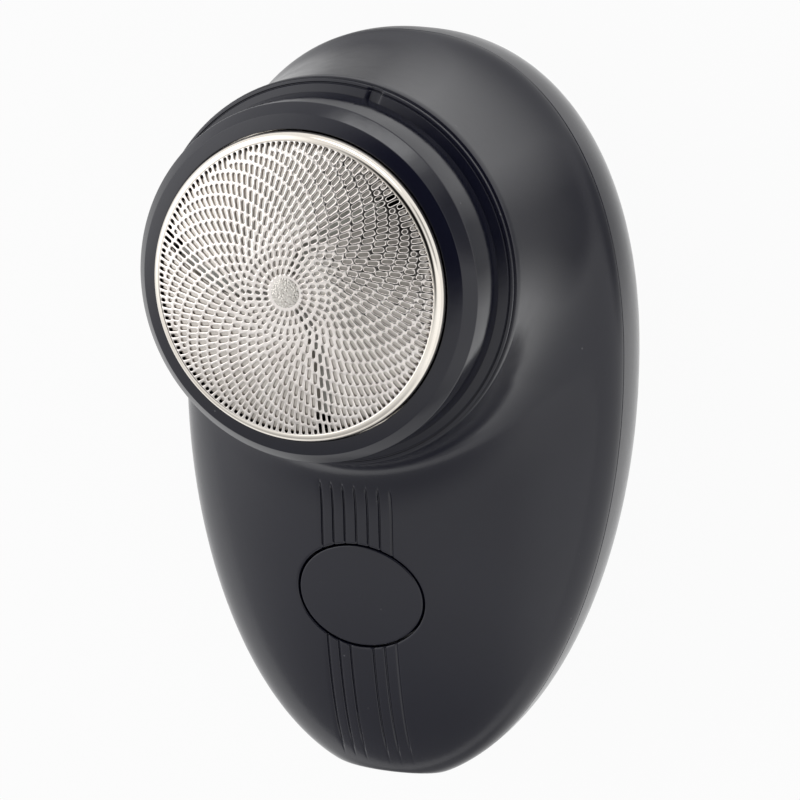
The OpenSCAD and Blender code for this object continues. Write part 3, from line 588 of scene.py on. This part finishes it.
class Columns:
    """Lines of points that run out from the neck: straight ones over the grooves, then a fan."""
    edge = 7.6  # x of the last straight line
    fan_steps = 210
    fan_bunch = 0.6  # the fan's lines lie closer together next to the straight ones

    def __init__(self):
        over = (0, 0.03, 0.07, 0.11, 0.15, 0.2)  # lines across each side of a groove
        between = (-0.21, 0, 0.21)  # and between two grooves
        k_min, k_end = -GROOVE_PAIRS, GROOVE_PAIRS + 1
        sides = (-1, 1)
        x = {k * GROOVE_PITCH + side * d for k in range(k_min, k_end) for d in over for side in sides}
        x |= {(k + 0.5) * GROOVE_PITCH + d for k in range(k_min, k_end - 1) for d in between}
        x |= {side * v for v in np.arange(self.edge, 4.3, -0.4) for side in sides}
        self.x = np.array(sorted(x))
        even = np.arange(1, self.fan_steps) / self.fan_steps
        self.u = even - self.fan_bunch * np.sin(2 * math.pi * even) / (2 * math.pi)
        self.count = len(self.x) + len(self.u)

    def at(self, r):
        """x and y from the head axis of every column at distance r, one number or one for each."""
        r = np.broadcast_to(np.asarray(r, float), (self.count,))
        n = len(self.x)
        side = np.arcsin(self.edge / r[n:])
        fan = side + (2 * math.pi - 2 * side) * self.u
        turn = np.concatenate([np.arcsin(self.x / r[:n]), fan]) - math.pi / 2
        return r * np.cos(turn), r * np.sin(turn)

    def far(self, form):
        """Distance at which each column reaches a form's outline."""
        return distance_to(form, self.at, 16.0, 70.0)


def skin_height(x, y):
    """Height of the front's skin above the parting line, with its grooves and the lip of the hole."""
    return front_at(x, y) - groove_depth(x, y) - rolled(hole_distance(x, y), LIP)


def hole_patch(border):
    """Loops of points from the button's hole out to a border, which starts at its top right."""
    # up to the first x the points keep to their columns; beyond the second they leave the hole square
    straight, square = 4.0, 5.4
    close = (0, 0.02, 0.05, 0.09, 0.14, 0.19, 0.25, 0.34)  # distances of the first loops from the hole
    spans = 9  # from the last of those to the border
    x, y = border[:, 0], border[:, 1]
    turn = np.arccos(np.clip(x / HOLE_RX, -1, 1))
    turn = np.where(y > -BUTTON_OFF, turn, 2 * math.pi - turn)
    path = np.concatenate([[0], np.cumsum(np.hypot(np.diff(x), np.diff(y)))])
    whole = path[-1] + math.hypot(x[0] - x[-1], y[0] - y[-1])
    keys = np.flatnonzero((np.abs(x) <= straight) & (np.abs(y + BUTTON_OFF) > HOLE_RY / 2))
    turn = np.interp(path, np.concatenate([path[keys] - whole, path[keys], path[keys] + whole]),
                     np.concatenate([turn[keys] - 2 * math.pi, turn[keys], turn[keys] + 2 * math.pi]))
    ex, ey = HOLE_RX * np.cos(turn), HOLE_RY * np.sin(turn)
    normal = np.stack([ex / HOLE_RX**2, ey / HOLE_RY**2], 1)
    normal /= np.linalg.norm(normal, axis=1)[:, None]
    lean = ramp(np.abs(ex), straight, square)[:, None]
    steep = np.where(np.abs(normal[:, 1]) < 0.3, 1, normal[:, 1])
    upright = np.stack([np.zeros(len(x)), 1 / steep], 1)
    out = upright * (1 - lean) + normal * lean
    at = np.stack([ex, ey - BUTTON_OFF], 1)
    loops = [at + out * d for d in close]
    return loops + [loops[-1] + (border - loops[-1]) * k for k in np.linspace(0, 1, spans + 1)[1:-1]]


def ring_distances(far):
    """Distances from the head axis of the rings on the front's surface, from neck to outline."""
    on_flare, even, closing = 44, 60, 60  # rings on the flare, evenly beyond it, and closing up
    part, even_part = 0.8, 0.56  # of the flare's width, and of the rest, for the first two
    length = far - NECK_R
    width = np.minimum(FLARE_W, length)
    split = part * width
    turn = np.arccos(np.sqrt((1 - split / width) ** FLARE_HOLLOW))
    rings = [NECK_R + (1 - np.cos(turn * k / on_flare) ** (2 / FLARE_HOLLOW)) * width
             for k in range(on_flare)]
    steps = np.concatenate([np.linspace(0, even_part, even + 1)[:-1],
                            1 - (1 - even_part) * np.linspace(1, 0, closing) ** 2.2])
    return rings + [NECK_R + split + q * (length - split) for q in steps]


def front_rings(columns, outer):
    """Rings of points over the front's surface, over the neck's edge, down its bore and back inside."""
    rings = []
    top, ledge = NECK_Z - PART_Z, FLOOR_Z - FLOOR_T - PART_Z
    ledge_r = BORE_R - BORE_LEDGE

    def add(x, y, z):
        rings.append(np.stack([x, HEAD_Y + y, PART_Z + z * np.ones(columns.count)], 1))

    for r in outer:
        x, y = columns.at(r)
        z = skin_height(x, HEAD_OFF + y)
        x, y = columns.at(r - 0.09 * np.clip(1 - z / 0.14, 0, 1) ** 2)  # rounds the parting edge
        add(x, y, z)
    rings[-1][:, 2] = PART_Z + top - 0.15  # the neck's edge is level
    for r, z in ((NECK_R - 0.045, top - 0.045), (NECK_R - 0.15, top), (BORE_R + 0.05, top),
                 (BORE_R, top - 0.05), (BORE_R, ledge), (ledge_r, ledge)):
        add(*columns.at(r), z)
    inner_far = np.maximum(columns.far(INNER_FRONT), ledge_r + 0.02)
    for q in 1 - (1 - np.linspace(0, 1, 22)) ** 1.8:
        x, y = columns.at(ledge_r + q * (inner_far - ledge_r))
        add(x, y, dome(INNER_FRONT, x, HEAD_OFF + y))
    return rings


def front_mesh():
    """The front shell, where a patch round the button's hole takes the place of a block of the grid."""
    columns = Columns()
    n = columns.count
    outer = ring_distances(columns.far(OUTER_FRONT))[::-1]
    rings = front_rings(columns, outer)
    last = len(columns.x) - 1
    middle = [r[last // 2] for r in outer]
    low = min(range(len(middle)), key=lambda j: abs(middle[j] - BLOCK_LOW))
    high = min(range(len(middle)), key=lambda j: abs(middle[j] - BLOCK_HIGH))
    faces = [f for f in loop_faces(n, len(rings))
             if not (low * n <= f[0] < high * n and f[0] % n < last)]
    border = [high * n + i for i in range(last, 0, -1)] + [j * n for j in range(high, low, -1)]
    border += [low * n + i for i in range(last)] + [j * n + last for j in range(low, high)]
    verts = np.vstack(rings)
    m = len(border)
    loops = []
    for x, y in (loop.T for loop in hole_patch(verts[border][:, :2] - (0, WIDE_Y))):
        z = skin_height(x, y)
        if not loops:
            loops += [(x, y, z - LID_DEPTH), (x, y, z - LID_DEPTH / 2)]
        loops.append((x, y, z))
    base = len(verts)
    patch = [np.stack([x, WIDE_Y + y, PART_Z + z], 1) for x, y, z in loops]
    centre = (0, WIDE_Y - BUTTON_OFF, patch[0][:, 2].mean() + LID_RISE)
    verts = np.vstack([verts] + patch + [[centre]])
    faces += moved(grid_faces(m, len(patch)), base)
    ring = base + (len(patch) - 1) * m
    faces += [(ring + i, ring + (i + 1) % m, border[(i + 1) % m], border[i]) for i in range(m)]
    faces += fan_faces(base, m, len(verts) - 1)
    used = np.unique([v for f in faces for v in f])
    new = {old: k for k, old in enumerate(used)}
    return press_tip(verts[used]), [tuple(new[v] for v in f) for f in faces]


def button_hole():
    """The tool that opens the hole: an oval plug from inside the casing to just above the lid."""
    n, clear, foot = 256, 0.02, PART_Z + 3.0
    b = np.arange(n) * 2 * math.pi / n
    x, y = (HOLE_RX + clear) * np.cos(b), (HOLE_RY + clear) * np.sin(b) - BUTTON_OFF
    top = PART_Z + front_at(x, y) - LIP - (LID_DEPTH - 0.3)
    rings = [np.stack([x, WIDE_Y + y, z], 1) for z in (np.full(n, foot), top)]
    verts = np.vstack(rings + [[(0, WIDE_Y - BUTTON_OFF, top.mean() + LID_RISE)]])
    return verts, grid_faces(n, 2) + [tuple(range(n))] + fan_faces(n, n, 2 * n)


def front_shell():
    """The front half, with the neck, the grooves, the button's hole and the socket's mouth."""
    o = piece("front_shell_skin", front_mesh(), "housing", CASING, "front_shell",
              CASING_SHARP)
    cut(o, button_hole(), CASING_SHARP)
    cut_socket_mouth(o)


def rear_shell():
    """The rear half, with a flat to rest on."""
    n, outside, inside = 400, 90, 24  # points in a ring; steps from the parting line down
    t = np.arange(n) * 2 * math.pi / n - math.pi / 2

    def level(form, a, shrink=1.0):
        x, y = outline(form, t)
        k, z = math.cos(a) ** (2 / form.fullness) * shrink, math.sin(a) ** (2 / form.fullness)
        return np.stack([x * k, y * k + WIDE_Y, np.full(n, PART_Z - form.depth * z)], 1)

    outer = []
    for j in range(outside + 1):
        a = math.radians(min(89.6, 90 * (j / outside) ** 1.5))
        depth = REAR_DEPTH * math.sin(a) ** (2 / REAR_ROUND)
        shrink = 1 - 0.004 * max(0, 1 - depth / 0.14) ** 2  # rounds the parting edge
        outer.append(level(OUTER_REAR, a, shrink))
    p = np.vstack(outer)
    p[:, 2] = smooth_floor(p[:, 2], 0, 0.05)
    inner = [level(INNER_REAR, math.radians(min(89, 90 * (j / inside) ** 1.3)))
             for j in range(inside + 1)]
    base = len(p)
    p = press_tip(np.vstack([p] + inner))
    faces = grid_faces(n, len(outer)) + [tuple(range(base - n, base))]
    faces += moved(grid_faces(n, len(inner)), base) + [tuple(range(len(p) - n, len(p)))]
    faces += [(i, (i + 1) % n, base + (i + 1) % n, base + i) for i in range(n)]
    o = piece("rear_shell_skin", (p, faces), "housing", CASING, "rear_shell",
              CASING_SHARP)
    cut_socket_mouth(o)


def neck_collar():
    """The neck's tube, whose top slopes outward from the ring's foot to a fine groove and a bead."""
    peak, edge = NECK_Z + 1.08, NECK_Z + 0.62
    inner = SPIGOT_R + 0.1
    bore = inner - COLLAR_WALL
    notch_at, notch_d = 77, 0.35
    corners = [(inner, SPIGOT_Z, 0.05), (inner, peak, 0.08), (17.45, peak, 0.1),
               (18.4, edge + 0.06, 0.03), (18.46, edge - 0.04, 0.02), (18.54, edge - 0.04, 0.02),
               (18.6, edge + 0.03, 0.06), (COLLAR_R, edge - 0.08, 0.1), (COLLAR_R, NECK_Z, 0.05),
               (TUBE_R, NECK_Z, 0.05), (TUBE_R, FLOOR_Z, 0.1), (bore, FLOOR_Z, 0.1),
               (bore, SPIGOT_Z, 0.1)]

    def notch(a, r, z):
        deep = notch_d * near(np.degrees(a), notch_at, 2.2, 1.4)
        return r, np.where((z > NECK_Z + 0.4) & (r > SPIGOT_R + 0.15), z - deep, z)

    piece("neck_collar_trim", turned(rounded(corners), 720, notch), "housing", CASING, "neck_collar",
          25)


def head_ring():
    """The ring round the foil: a narrow face, a chamfer, a tapered side and the spigot under it."""
    bore, spigot_bore, face_r = FOIL_R + 0.1, 16.05, 16.5
    face, chamfer, foot, seat = RIM_Z - 0.55, RIM_Z - 1.75, RIM_Z - 6.6, RIM_Z - 2.6
    corners = [(bore, RIM_Z - 0.02, 0.06), (face_r, face, 0.22), (RING_R, chamfer, 0.3),
               (RING_R + 0.24, foot, 0.16), (SPIGOT_R, foot, 0.06), (SPIGOT_R, SPIGOT_Z, 0.25),
               (spigot_bore, SPIGOT_Z, 0.08), (spigot_bore, seat, 0.08), (bore, seat, 0.05)]

    tab_at, tab_h = 78, 0.32

    def tab(a, r, z):
        tall = tab_h * near(np.degrees(a), tab_at, 1.6, 0.9)
        return r, np.where((z < foot + 0.2) & (r > SPIGOT_R + 0.2), z - tall, z)

    piece("head_ring_trim", turned(rounded(corners), 720, tab), "head", RING, "head_ring",
          25)


# ---------------------------------------- foil
def foil_slots():
    """Every slot: distance from the axis, angle, lean, length and width."""
    arms, arm_slots, rim_slots = 36, 20, 4
    lead, centre, arc_r = math.radians(37.2), 6.75, 7.59  # each arm's arc: its centre and its radius
    touch = 3.3  # a circle that every slot's line touches
    bridge, first = 0.24, 0.45  # metal between slots; an arm's first slot
    first_q, step_q, growth_q = -12.2, 4.2, 0.042  # degrees along the arc, slot by slot
    rim_in, rim_out, rim_w, rim_less = 13.02, 14.12, 0.32, 0.2
    rim_lead, rim_pitch = 3.1, 2.5  # degrees
    crown = ((3.78, 36), (2.90, 30), (2.06, 24))  # the rows round the crown: radius and count
    crown_slot = (0.25, 0.56, 0.3)  # their slots' lean, length and width
    out = []
    for k in range(arms):
        turn = 2 * math.pi * k / arms
        for i in range(arm_slots):
            q = math.radians(first_q - step_q * i - growth_q * i * i)
            x = centre * math.cos(lead) + arc_r * math.cos(q)
            y = centre * math.sin(lead) + arc_r * math.sin(q)
            r = math.hypot(x, y)
            slope = -centre * math.sin(q - lead) / (centre * math.cos(q - lead) + arc_r)
            lean = math.asin(touch / r)
            size = 2 * math.pi * slope * r / arms / (math.cos(lean) + slope * math.sin(lean)) - bridge
            width = min(0.34, 0.23 + 0.015 * r)
            out.append((r, turn + math.atan2(y, x), lean, first if i == 0 else size, width))
        for j in range(rim_slots):
            inner = rim_in + rim_less * j
            r = (inner + rim_out) / 2
            angle = turn + math.radians(rim_lead + rim_pitch * j)
            out.append((r, angle, math.asin(touch / r), rim_out - inner, rim_w))
    for r, count in crown:
        out += [(r, 2 * math.pi * (k + 0.5) / count, *crown_slot) for k in range(count)]
    return out


def dome_at(r, below=0.0):
    """Height of the foil's dome, or of a dome some way below it, at distance r from the head axis."""
    return DOME_Z + np.sqrt((DOME_R - below) ** 2 - np.square(r))


def dished(reach, steps):
    """Distances from the axis at which a dish's profile has its points."""
    return np.concatenate([[AXIS_R], np.linspace(0.5, reach, steps)])


SLOT_END = 7              # points on each round end of a slot


def slot_loop(place, grow):
    """A round-ended slot's outline, grown by some amount all round."""
    r, turn, lean, size, width = place
    half, rad = max(0.01, (size - width) / 2), width / 2 + grow
    ends = np.linspace(-math.pi / 2, math.pi / 2, SLOT_END)
    u = np.concatenate([half + rad * np.cos(ends), -half - rad * np.cos(ends)])
    w = np.concatenate([rad * np.sin(ends), -rad * np.sin(ends)])
    c, s = math.cos(turn - lean), math.sin(turn - lean)
    return r * math.cos(turn) + u * c - w * s, r * math.sin(turn) + u * s + w * c


def slot_tool(place):
    """The tool that cuts a slot through the dome and rounds its upper edge."""
    edge = ((0, -3.0), (0, -0.065), (0.02, -0.02), (0.08, 0.004), (0.08, 0.4))  # growth and height
    verts = []
    for grow, rise in edge:
        x, y = slot_loop(place, grow)
        verts += list(zip(x, HEAD_Y + y, dome_at(np.hypot(x, y)) + rise))
    return verts, capped_faces(2 * SLOT_END, len(edge))


def foil():
    """A thin dome with every slot cut through, its shoulder and the knurled boss in its middle."""
    top = [(r, float(dome_at(r))) for r in dished(FOIL_EDGE, 40)]
    under = [(r, z - FOIL_T) for r, z in reversed(top)]
    o = piece("foil_screen", turned(top + under, 240), "head", FOIL, "foil")
    cut(o, joined(slot_tool(place) for place in foil_slots()), 50)
    foil_rim()
    low = -0.14
    rise = ((AXIS_R / 2, 0.04), (0.7, 0.04), (1.3, 0.025), (1.5, -0.01), (1.45, low), (AXIS_R / 2, low))
    boss = [(r, float(dome_at(r)) + z) for r, z in rise]
    piece("foil_boss", turned(boss, 64), "head", BOSS, None, 40)


def foil_rim():
    """The foil's polished shoulder, its skirt and the flange that holds it."""
    wide, tall, thick, proud = FOIL_R - FOIL_EDGE, 1.05, 0.18, 0.04
    flange_r, flange_t, overlap = 15.9, 0.25, 0.03
    z0 = float(dome_at(FOIL_EDGE))

    def arc(less, ends):
        z = z0 + proud - tall
        return [(FOIL_EDGE + (wide - less) * math.cos(b), z + (tall - less) * math.sin(b))
                for b in np.radians(np.linspace(*ends, 16))]

    profile = [(FOIL_R, FOIL_FLANGE + flange_t)] + arc(0, (0, 88))
    profile += [(FOIL_EDGE - overlap, z0 + proud - 0.03), (FOIL_EDGE - overlap, z0 - thick)]
    profile += arc(thick, (88, 0))
    profile += [(FOIL_R - thick, FOIL_FLANGE), (flange_r, FOIL_FLANGE)]
    profile += [(flange_r, FOIL_FLANGE + flange_t)]
    piece("foil_rim", turned(profile, 360), "head", RIM, None)


def foil_retainer():
    """The white ring that clips the foil into the head, with three finger notches."""
    inner, outer, tall = 14.55, 16.0, 2.1
    foot = FOIL_FLANGE - tall
    corners = [(inner, FOIL_FLANGE, 0.25), (outer, FOIL_FLANGE, 0.06), (outer, foot, 0.12),
               (inner, foot, 0.35)]

    def notch(a, r, z):
        w = near((np.degrees(a) + 30) % 120, 60, 9, 6)
        return r, np.where(z < FOIL_FLANGE - tall / 2, z + 0.7 * w, z)

    piece("foil_retainer_ring", turned(rounded(corners), 360, notch), "head", WHITE, "foil_retainer",
          35)


# ---------------------------------------- cutter
def blade_gaps():
    """The three curved gaps between the blades, as prisms."""
    width, first, sweep_r = 1.4, -48, 14.0
    past = 0.2  # how far past the head axis a gap's circle reaches
    b = np.radians(np.linspace(-82, -22, 40))
    loop = [(rho * math.cos(v), -(sweep_r - past) - rho * math.sin(v))
            for rho, way in ((sweep_r + width / 2, b), (sweep_r - width / 2, b[::-1])) for v in way]
    gaps = []
    for k in range(3):
        gap = [(x, HEAD_Y + y) for x, y in turn_by(loop, 120 * k + first)]
        gaps.append(prism(gap, RIM_Z - 4, RIM_Z + 6))
    return joined(gaps)


def cutter_disc():
    """Three blades in one dished disc, close under the foil, with the curved gaps between them."""
    bevel_w, bevel_h = 0.3, 0.2
    radii = np.concatenate([dished(BLADE_R - bevel_w, 26), [BLADE_R]])
    top = [(r, float(dome_at(r, BLADE_DOWN))) for r in radii]
    top[-1] = (BLADE_R, top[-1][1] - bevel_h)
    under = [(r, float(dome_at(r, BLADE_DOWN)) - BLADE_T) for r in reversed(radii)]
    o = piece("cutter_blade_disc", turned(top + under, 180), "cutter", BLADE, "cutter_blades")
    cut(o, blade_gaps())


def cutter_carrier():
    """The white dish that carries the blades, its hub with a square socket, and three ribs under it."""
    half = CARRIER_SOCKET / 2
    radii = dished(CARRIER_R, 16)

    def level(r, below):
        return float(dome_at(r, BLADE_DOWN)) - BLADE_T - below

    top = [(r, level(r, 0), 0) for r in radii[:-1]] + [(CARRIER_R, level(CARRIER_R, 0), 0.15)]
    under = [(r, level(r, CARRIER_T), 0) for r in reversed(radii[:-1]) if r > CARRIER_HUB + 0.4]
    body = top + [(CARRIER_R, level(CARRIER_R, CARRIER_T), 0.15)] + under
    body += [(CARRIER_HUB, level(CARRIER_HUB, CARRIER_T), 0.5), (CARRIER_HUB, CARRIER_FOOT, 0.15),
             (AXIS_R, CARRIER_FOOT, 0)]
    o = piece("cutter_carrier_dish", turned(rounded(body), 144), "cutter", WHITE, "cutter_carrier",
              35)
    square = [(sx * half, HEAD_Y + sy * half) for sx, sy in ((-1, -1), (1, -1), (1, 1), (-1, 1))]
    cut(o, prism(square, CARRIER_FOOT - 1, CARRIER_ROOF))

    block = [(0, 1, 3, 2), (4, 6, 7, 5), (0, 4, 5, 1), (2, 3, 7, 6), (0, 2, 6, 4), (1, 5, 7, 3)]

    def rib(turn):
        c, s = math.cos(math.radians(turn)), math.sin(math.radians(turn))
        verts = []
        for r in (CARRIER_HUB - 0.3, 10):
            for side in (-0.6, 0.6):
                for z in (RIM_Z - 4 + 0.25 * (r - CARRIER_HUB), level(r, CARRIER_T / 2)):
                    verts.append((r * c - side * s, HEAD_Y + r * s + side * c, z))
        return verts, block

    piece("cutter_carrier_ribs", joined(rib(120 * k) for k in range(3)), "cutter", WHITE, None,
          35)


def cutter_spring():
    """The coil under the carrier, on which the blades float."""
    wire, turns, coil_r, clear = 0.2, 4, 2.95, 0.02
    steps, sides = 48 * turns, 10
    low, high = SPRING_FOOT + wire + clear, CARRIER_FOOT - wire - clear
    t = np.arange(steps + 1) / steps
    verts = []
    for angle, z in zip(-2 * math.pi * turns * t, low + (high - low) * t):
        for b in np.arange(sides) * 2 * math.pi / sides:
            r = coil_r + wire * math.cos(b)
            verts.append((r * math.cos(angle), HEAD_Y + r * math.sin(angle), z + wire * math.sin(b)))
    o = piece("cutter_spring_coil", (verts, capped_faces(sides, steps + 1)), "rotor", STEEL,
              "cutter_spring", 40)
    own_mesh(o)


# ---------------------------------------- screws
def screws(node, x, y, seat, head_r, head_h, shank_r):
    """A pair of pan-head screws with cross recesses, in place of the plain ones."""
    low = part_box(node)[0][2] / MM
    top = seat + head_h
    corners = [(AXIS_R, low, 0), (shank_r - 0.2, low, 0), (shank_r, low + 0.3, 0.05),
               (shank_r, seat, 0.04), (head_r, seat, 0.08), (head_r, top, 0.7 * head_h),
               (AXIS_R, top, 0)]
    arm, half = 0.62 * head_r, 0.14 * head_r
    cross = [(arm, half), (half, half), (half, arm)]
    for _ in range(3):
        cross += [(-v, u) for u, v in cross[-3:]]
    pair, recesses = [], []
    for side, turn in ((-1, 25), (1, 70)):
        verts, faces = turned(rounded(corners), 48)
        pair.append(([(px + side * x, py - HEAD_Y + y, pz) for px, py, pz in verts], faces))
        recess = [(side * x + px, y + py) for px, py in turn_by(cross, turn)]
        recesses.append(prism(recess, seat + 0.4 * head_h, seat + 2 * head_h))
    o = piece(node + "_pan", joined(pair), "housing", SCREW, node, 35)
    cut(o, joined(recesses), 35)


# ---------------------------------------- button
def power_button():
    """A cap nearly flush with the casing: flatter than it, and lower at its upper edge."""
    rx, ry, edge, n = 6.6, 5.3, 0.2, 192
    foot, flange_t, stem_z = 6.8, 0.8, 5.6
    flange, stem = 1.1, 0.24  # as shares of the cap's oval
    b = np.arange(n) * 2 * math.pi / n
    rings = []
    for k in np.concatenate([np.linspace(0.02, 0.93, 24), 1 - 0.055 * np.linspace(1, 0, 12) ** 1.6]):
        x, y = rx * k * np.cos(b), -BUTTON_OFF + ry * k * np.sin(b)
        sink = 0.17 + 0.11 * k * np.sin(b) - 0.1 * (k * np.cos(b)) ** 2
        z = front_at(x, y) - sink - rolled(-hole_distance(x, y, rx, ry), edge)
        rings.append(np.stack([x, y + WIDE_Y, PART_Z + z], 1))
    for k, h in ((1, foot), (flange, foot), (flange, foot - flange_t), (stem, foot - flange_t),
                 (stem, stem_z), (0.01, stem_z)):
        rings.append(np.stack([rx * k * np.cos(b), WIDE_Y - BUTTON_OFF + ry * k * np.sin(b),
                               np.full(n, PART_Z + h)], 1))
    piece("power_button_cap", (np.vstack(rings), capped_faces(n, len(rings))), "button", CASING,
          "power_button")


# ---------------------------------------- charging socket
def socket():
    """A drawn shell with a rounded mouth, and a tongue with contacts."""
    back, mouth, t = TIP_Y + 7.7, TIP_Y + 0.3, SOCKET_T
    sections = (  # how much less than the whole size, and y
        (0, back), (0, mouth + 0.1), (0.06, mouth + 0.03), (0.2, mouth), (0.5, mouth),
        (0.64, mouth + 0.04), (2 * t, mouth + 0.12), (2 * t, back - t), (SOCKET_H - 0.05, back - t))
    verts = [(x, y, SOCKET_Z + z) for less, y in sections
             for x, z in stadium(SOCKET_W - less, SOCKET_H - less)]
    piece("charging_socket_shell", (verts, capped_faces(STADIUM_N, len(sections))), "housing", CAN,
          "charging_socket", 35)

    half, thick = 3.17, 0.35
    loop = rounded([(-half, -thick, 0.2), (half, -thick, 0.2), (half, thick, 0.2), (-half, thick, 0.2)])
    ends = ((0.9, mouth + 1), (1, mouth + 1.15), (1, back - t))
    verts = [(x * s, y, SOCKET_Z + z * s) for s, y in ends for x, z in loop]
    piece("socket_tongue_bar", (verts, capped_faces(len(loop), 3)), "housing", BLACK, "socket_tongue",
          35)

    contacts, pitch, half_w, low, high = 12, 0.5, 0.12, 0.34, 0.37
    ends = (mouth + 1.3, mouth + 5.6)
    strips = []
    for side in (-1, 1):
        for k in range(contacts):
            x = (k - (contacts - 1) / 2) * pitch
            strip = [(x + sx * half_w, SOCKET_Z + side * h)
                     for sx, h in ((-1, low), (1, low), (1, high), (-1, high))]
            strips.append(([(u, y, z) for y in ends for u, z in strip], capped_faces(4, 2)))
    piece("socket_contacts", joined(strips), "housing", GOLD, None)


# ---------------------------------------- stage, light and camera
def stage():
    """A pale floor, whitened for the camera and in reflections, but for pools of painted shade in which
    reflections see the floor's darker grey.
    """
    half, grey, whitening = 3.0, 0.54, 0.95
    painted_shade_pools = (  # painted shade in reflections: centre, dark within and clear beyond, in metres
        ((0.005, -0.105, 0), 0.03, 0.055),
        ((0.041, 0.025, 0), 0.008, 0.021),
        ((-0.014, 0.044, 0), 0.005, 0.019))
    me = bpy.data.meshes.new("studio_floor")
    corners = [(-half, -half, 0), (half, -half, 0), (half, half, 0), (-half, half, 0)]
    me.from_pydata(corners, [], [(0, 1, 2, 3)])
    o = bpy.data.objects.new("studio_floor", me)
    bpy.context.collection.objects.link(o)
    m, nt, p = start("studio_floor")
    p.inputs["Base Color"].default_value = (grey, grey, grey, 1)
    p.inputs["Roughness"].default_value = 0.7
    p.inputs["Specular IOR Level"].default_value = 0.1
    place = nt.nodes.new("ShaderNodeNewGeometry")
    path = nt.nodes.new("ShaderNodeLightPath")
    glossy, through = path.outputs["Is Glossy Ray"], path.outputs["Is Transmission Ray"]
    mirrored = math_node(nt, "MAXIMUM", glossy, through)
    # painted shade: within each pool, reflections see the plain grey floor, not the whitened one
    for centre, dark, clear in painted_shade_pools:
        away = nt.nodes.new("ShaderNodeVectorMath")
        away.operation = "DISTANCE"
        away.inputs[1].default_value = centre
        nt.links.new(place.outputs["Position"], away.inputs[0])
        outside = spread(nt, away.outputs["Value"], 0, 1, dark, clear)
        mirrored = math_node(nt, "MULTIPLY", mirrored, outside)
    seen = math_node(nt, "MAXIMUM", path.outputs["Is Camera Ray"], mirrored)
    glow = nt.nodes.new("ShaderNodeEmission")
    mix = nt.nodes.new("ShaderNodeMixShader")
    nt.links.new(math_node(nt, "MULTIPLY", seen, whitening), mix.inputs[0])
    nt.links.new(p.outputs[0], mix.inputs[1])
    nt.links.new(glow.outputs[0], mix.inputs[2])
    nt.links.new(mix.outputs[0], nt.nodes["Material Output"].inputs["Surface"])
    me.materials.append(m)


def world():
    """Soft studio light: an even sky with brighter and darker patches."""
    sky = 0.9
    patches = [  # azimuth and elevation, full within and gone beyond, all in degrees; then the gain
        (31.5, 64.6, 5, 28, 0.08),
        (50, 75, 12, 32, 0.04),
        (-100, 4, 14, 60, 0.5),
        (-12, 10, 20, 50, 1.25),
        (25, 6, 8, 24, 0.35),
        (158, 22, 12, 46, 2.1)]
    patches += [(azimuth, 11, 0, 12, 2.2) for azimuth in (62, 71, 80, 89, 98)]  # a strip lamp
    w = bpy.data.worlds.new("studio")
    bpy.context.scene.world = w
    w.use_nodes = True
    nt = w.node_tree
    tc = nt.nodes.new("ShaderNodeTexCoord")
    level = sky
    for *degrees, gain in patches:
        az, el, full, gone = (math.radians(v) for v in degrees)
        dot = nt.nodes.new("ShaderNodeVectorMath")
        dot.operation = "DOT_PRODUCT"
        toward = (math.cos(el) * math.cos(az), math.cos(el) * math.sin(az), math.sin(el))
        dot.inputs[1].default_value = toward
        nt.links.new(tc.outputs["Generated"], dot.inputs[0])
        patch = spread(nt, dot.outputs["Value"], 1, gain, math.cos(gone), math.cos(full))
        patch.node.interpolation_type = "SMOOTHSTEP"
        level = math_node(nt, "MULTIPLY", patch, level)
    nt.links.new(level, nt.nodes["Background"].inputs["Strength"])
    nt.nodes["Background"].inputs["Color"].default_value = (1, 1, 1, 1)


def camera():
    """The photograph's own view."""
    d = bpy.data.cameras.new("camera")
    d.lens, d.sensor_width = 257.13, 36
    d.clip_start, d.clip_end = 0.05, 50
    o = bpy.data.objects.new("camera", d)
    o.location = (0.20875, 0.12829, 0.53209)
    o.rotation_euler = tuple(math.radians(v) for v in (-12.258, 22.463, 1.858))
    bpy.context.collection.objects.link(o)
    bpy.context.scene.camera = o


# ---------------------------------------- build
camera()
for finish, nodes in FINISHES:
    for node in nodes.split():
        mesh = bpy.data.objects[node].data
        mesh.materials.clear()
        mesh.materials.append(finish)

front_shell()
rear_shell()
neck_collar()
head_ring()
foil()
foil_retainer()
cutter_disc()
cutter_carrier()
cutter_spring()
# each pair's x to both sides, y, height of the seat, head's radius and height, shank's radius
screws("motor_screws", 6.0, HEAD_Y, FLOOR_Z, 1.9, 1.2, 1.0)
screws("shell_screws", 13.2, HEAD_Y, FLOOR_Z, 1.9, 1.2, 1.0)
screws("board_screws", 13.4, WIDE_Y - 16.5, BOARD_TOP, 1.5, 1.0, 0.8)
power_button()
socket()
stage()
world()
bpy.context.scene.view_settings.view_transform = "Standard"
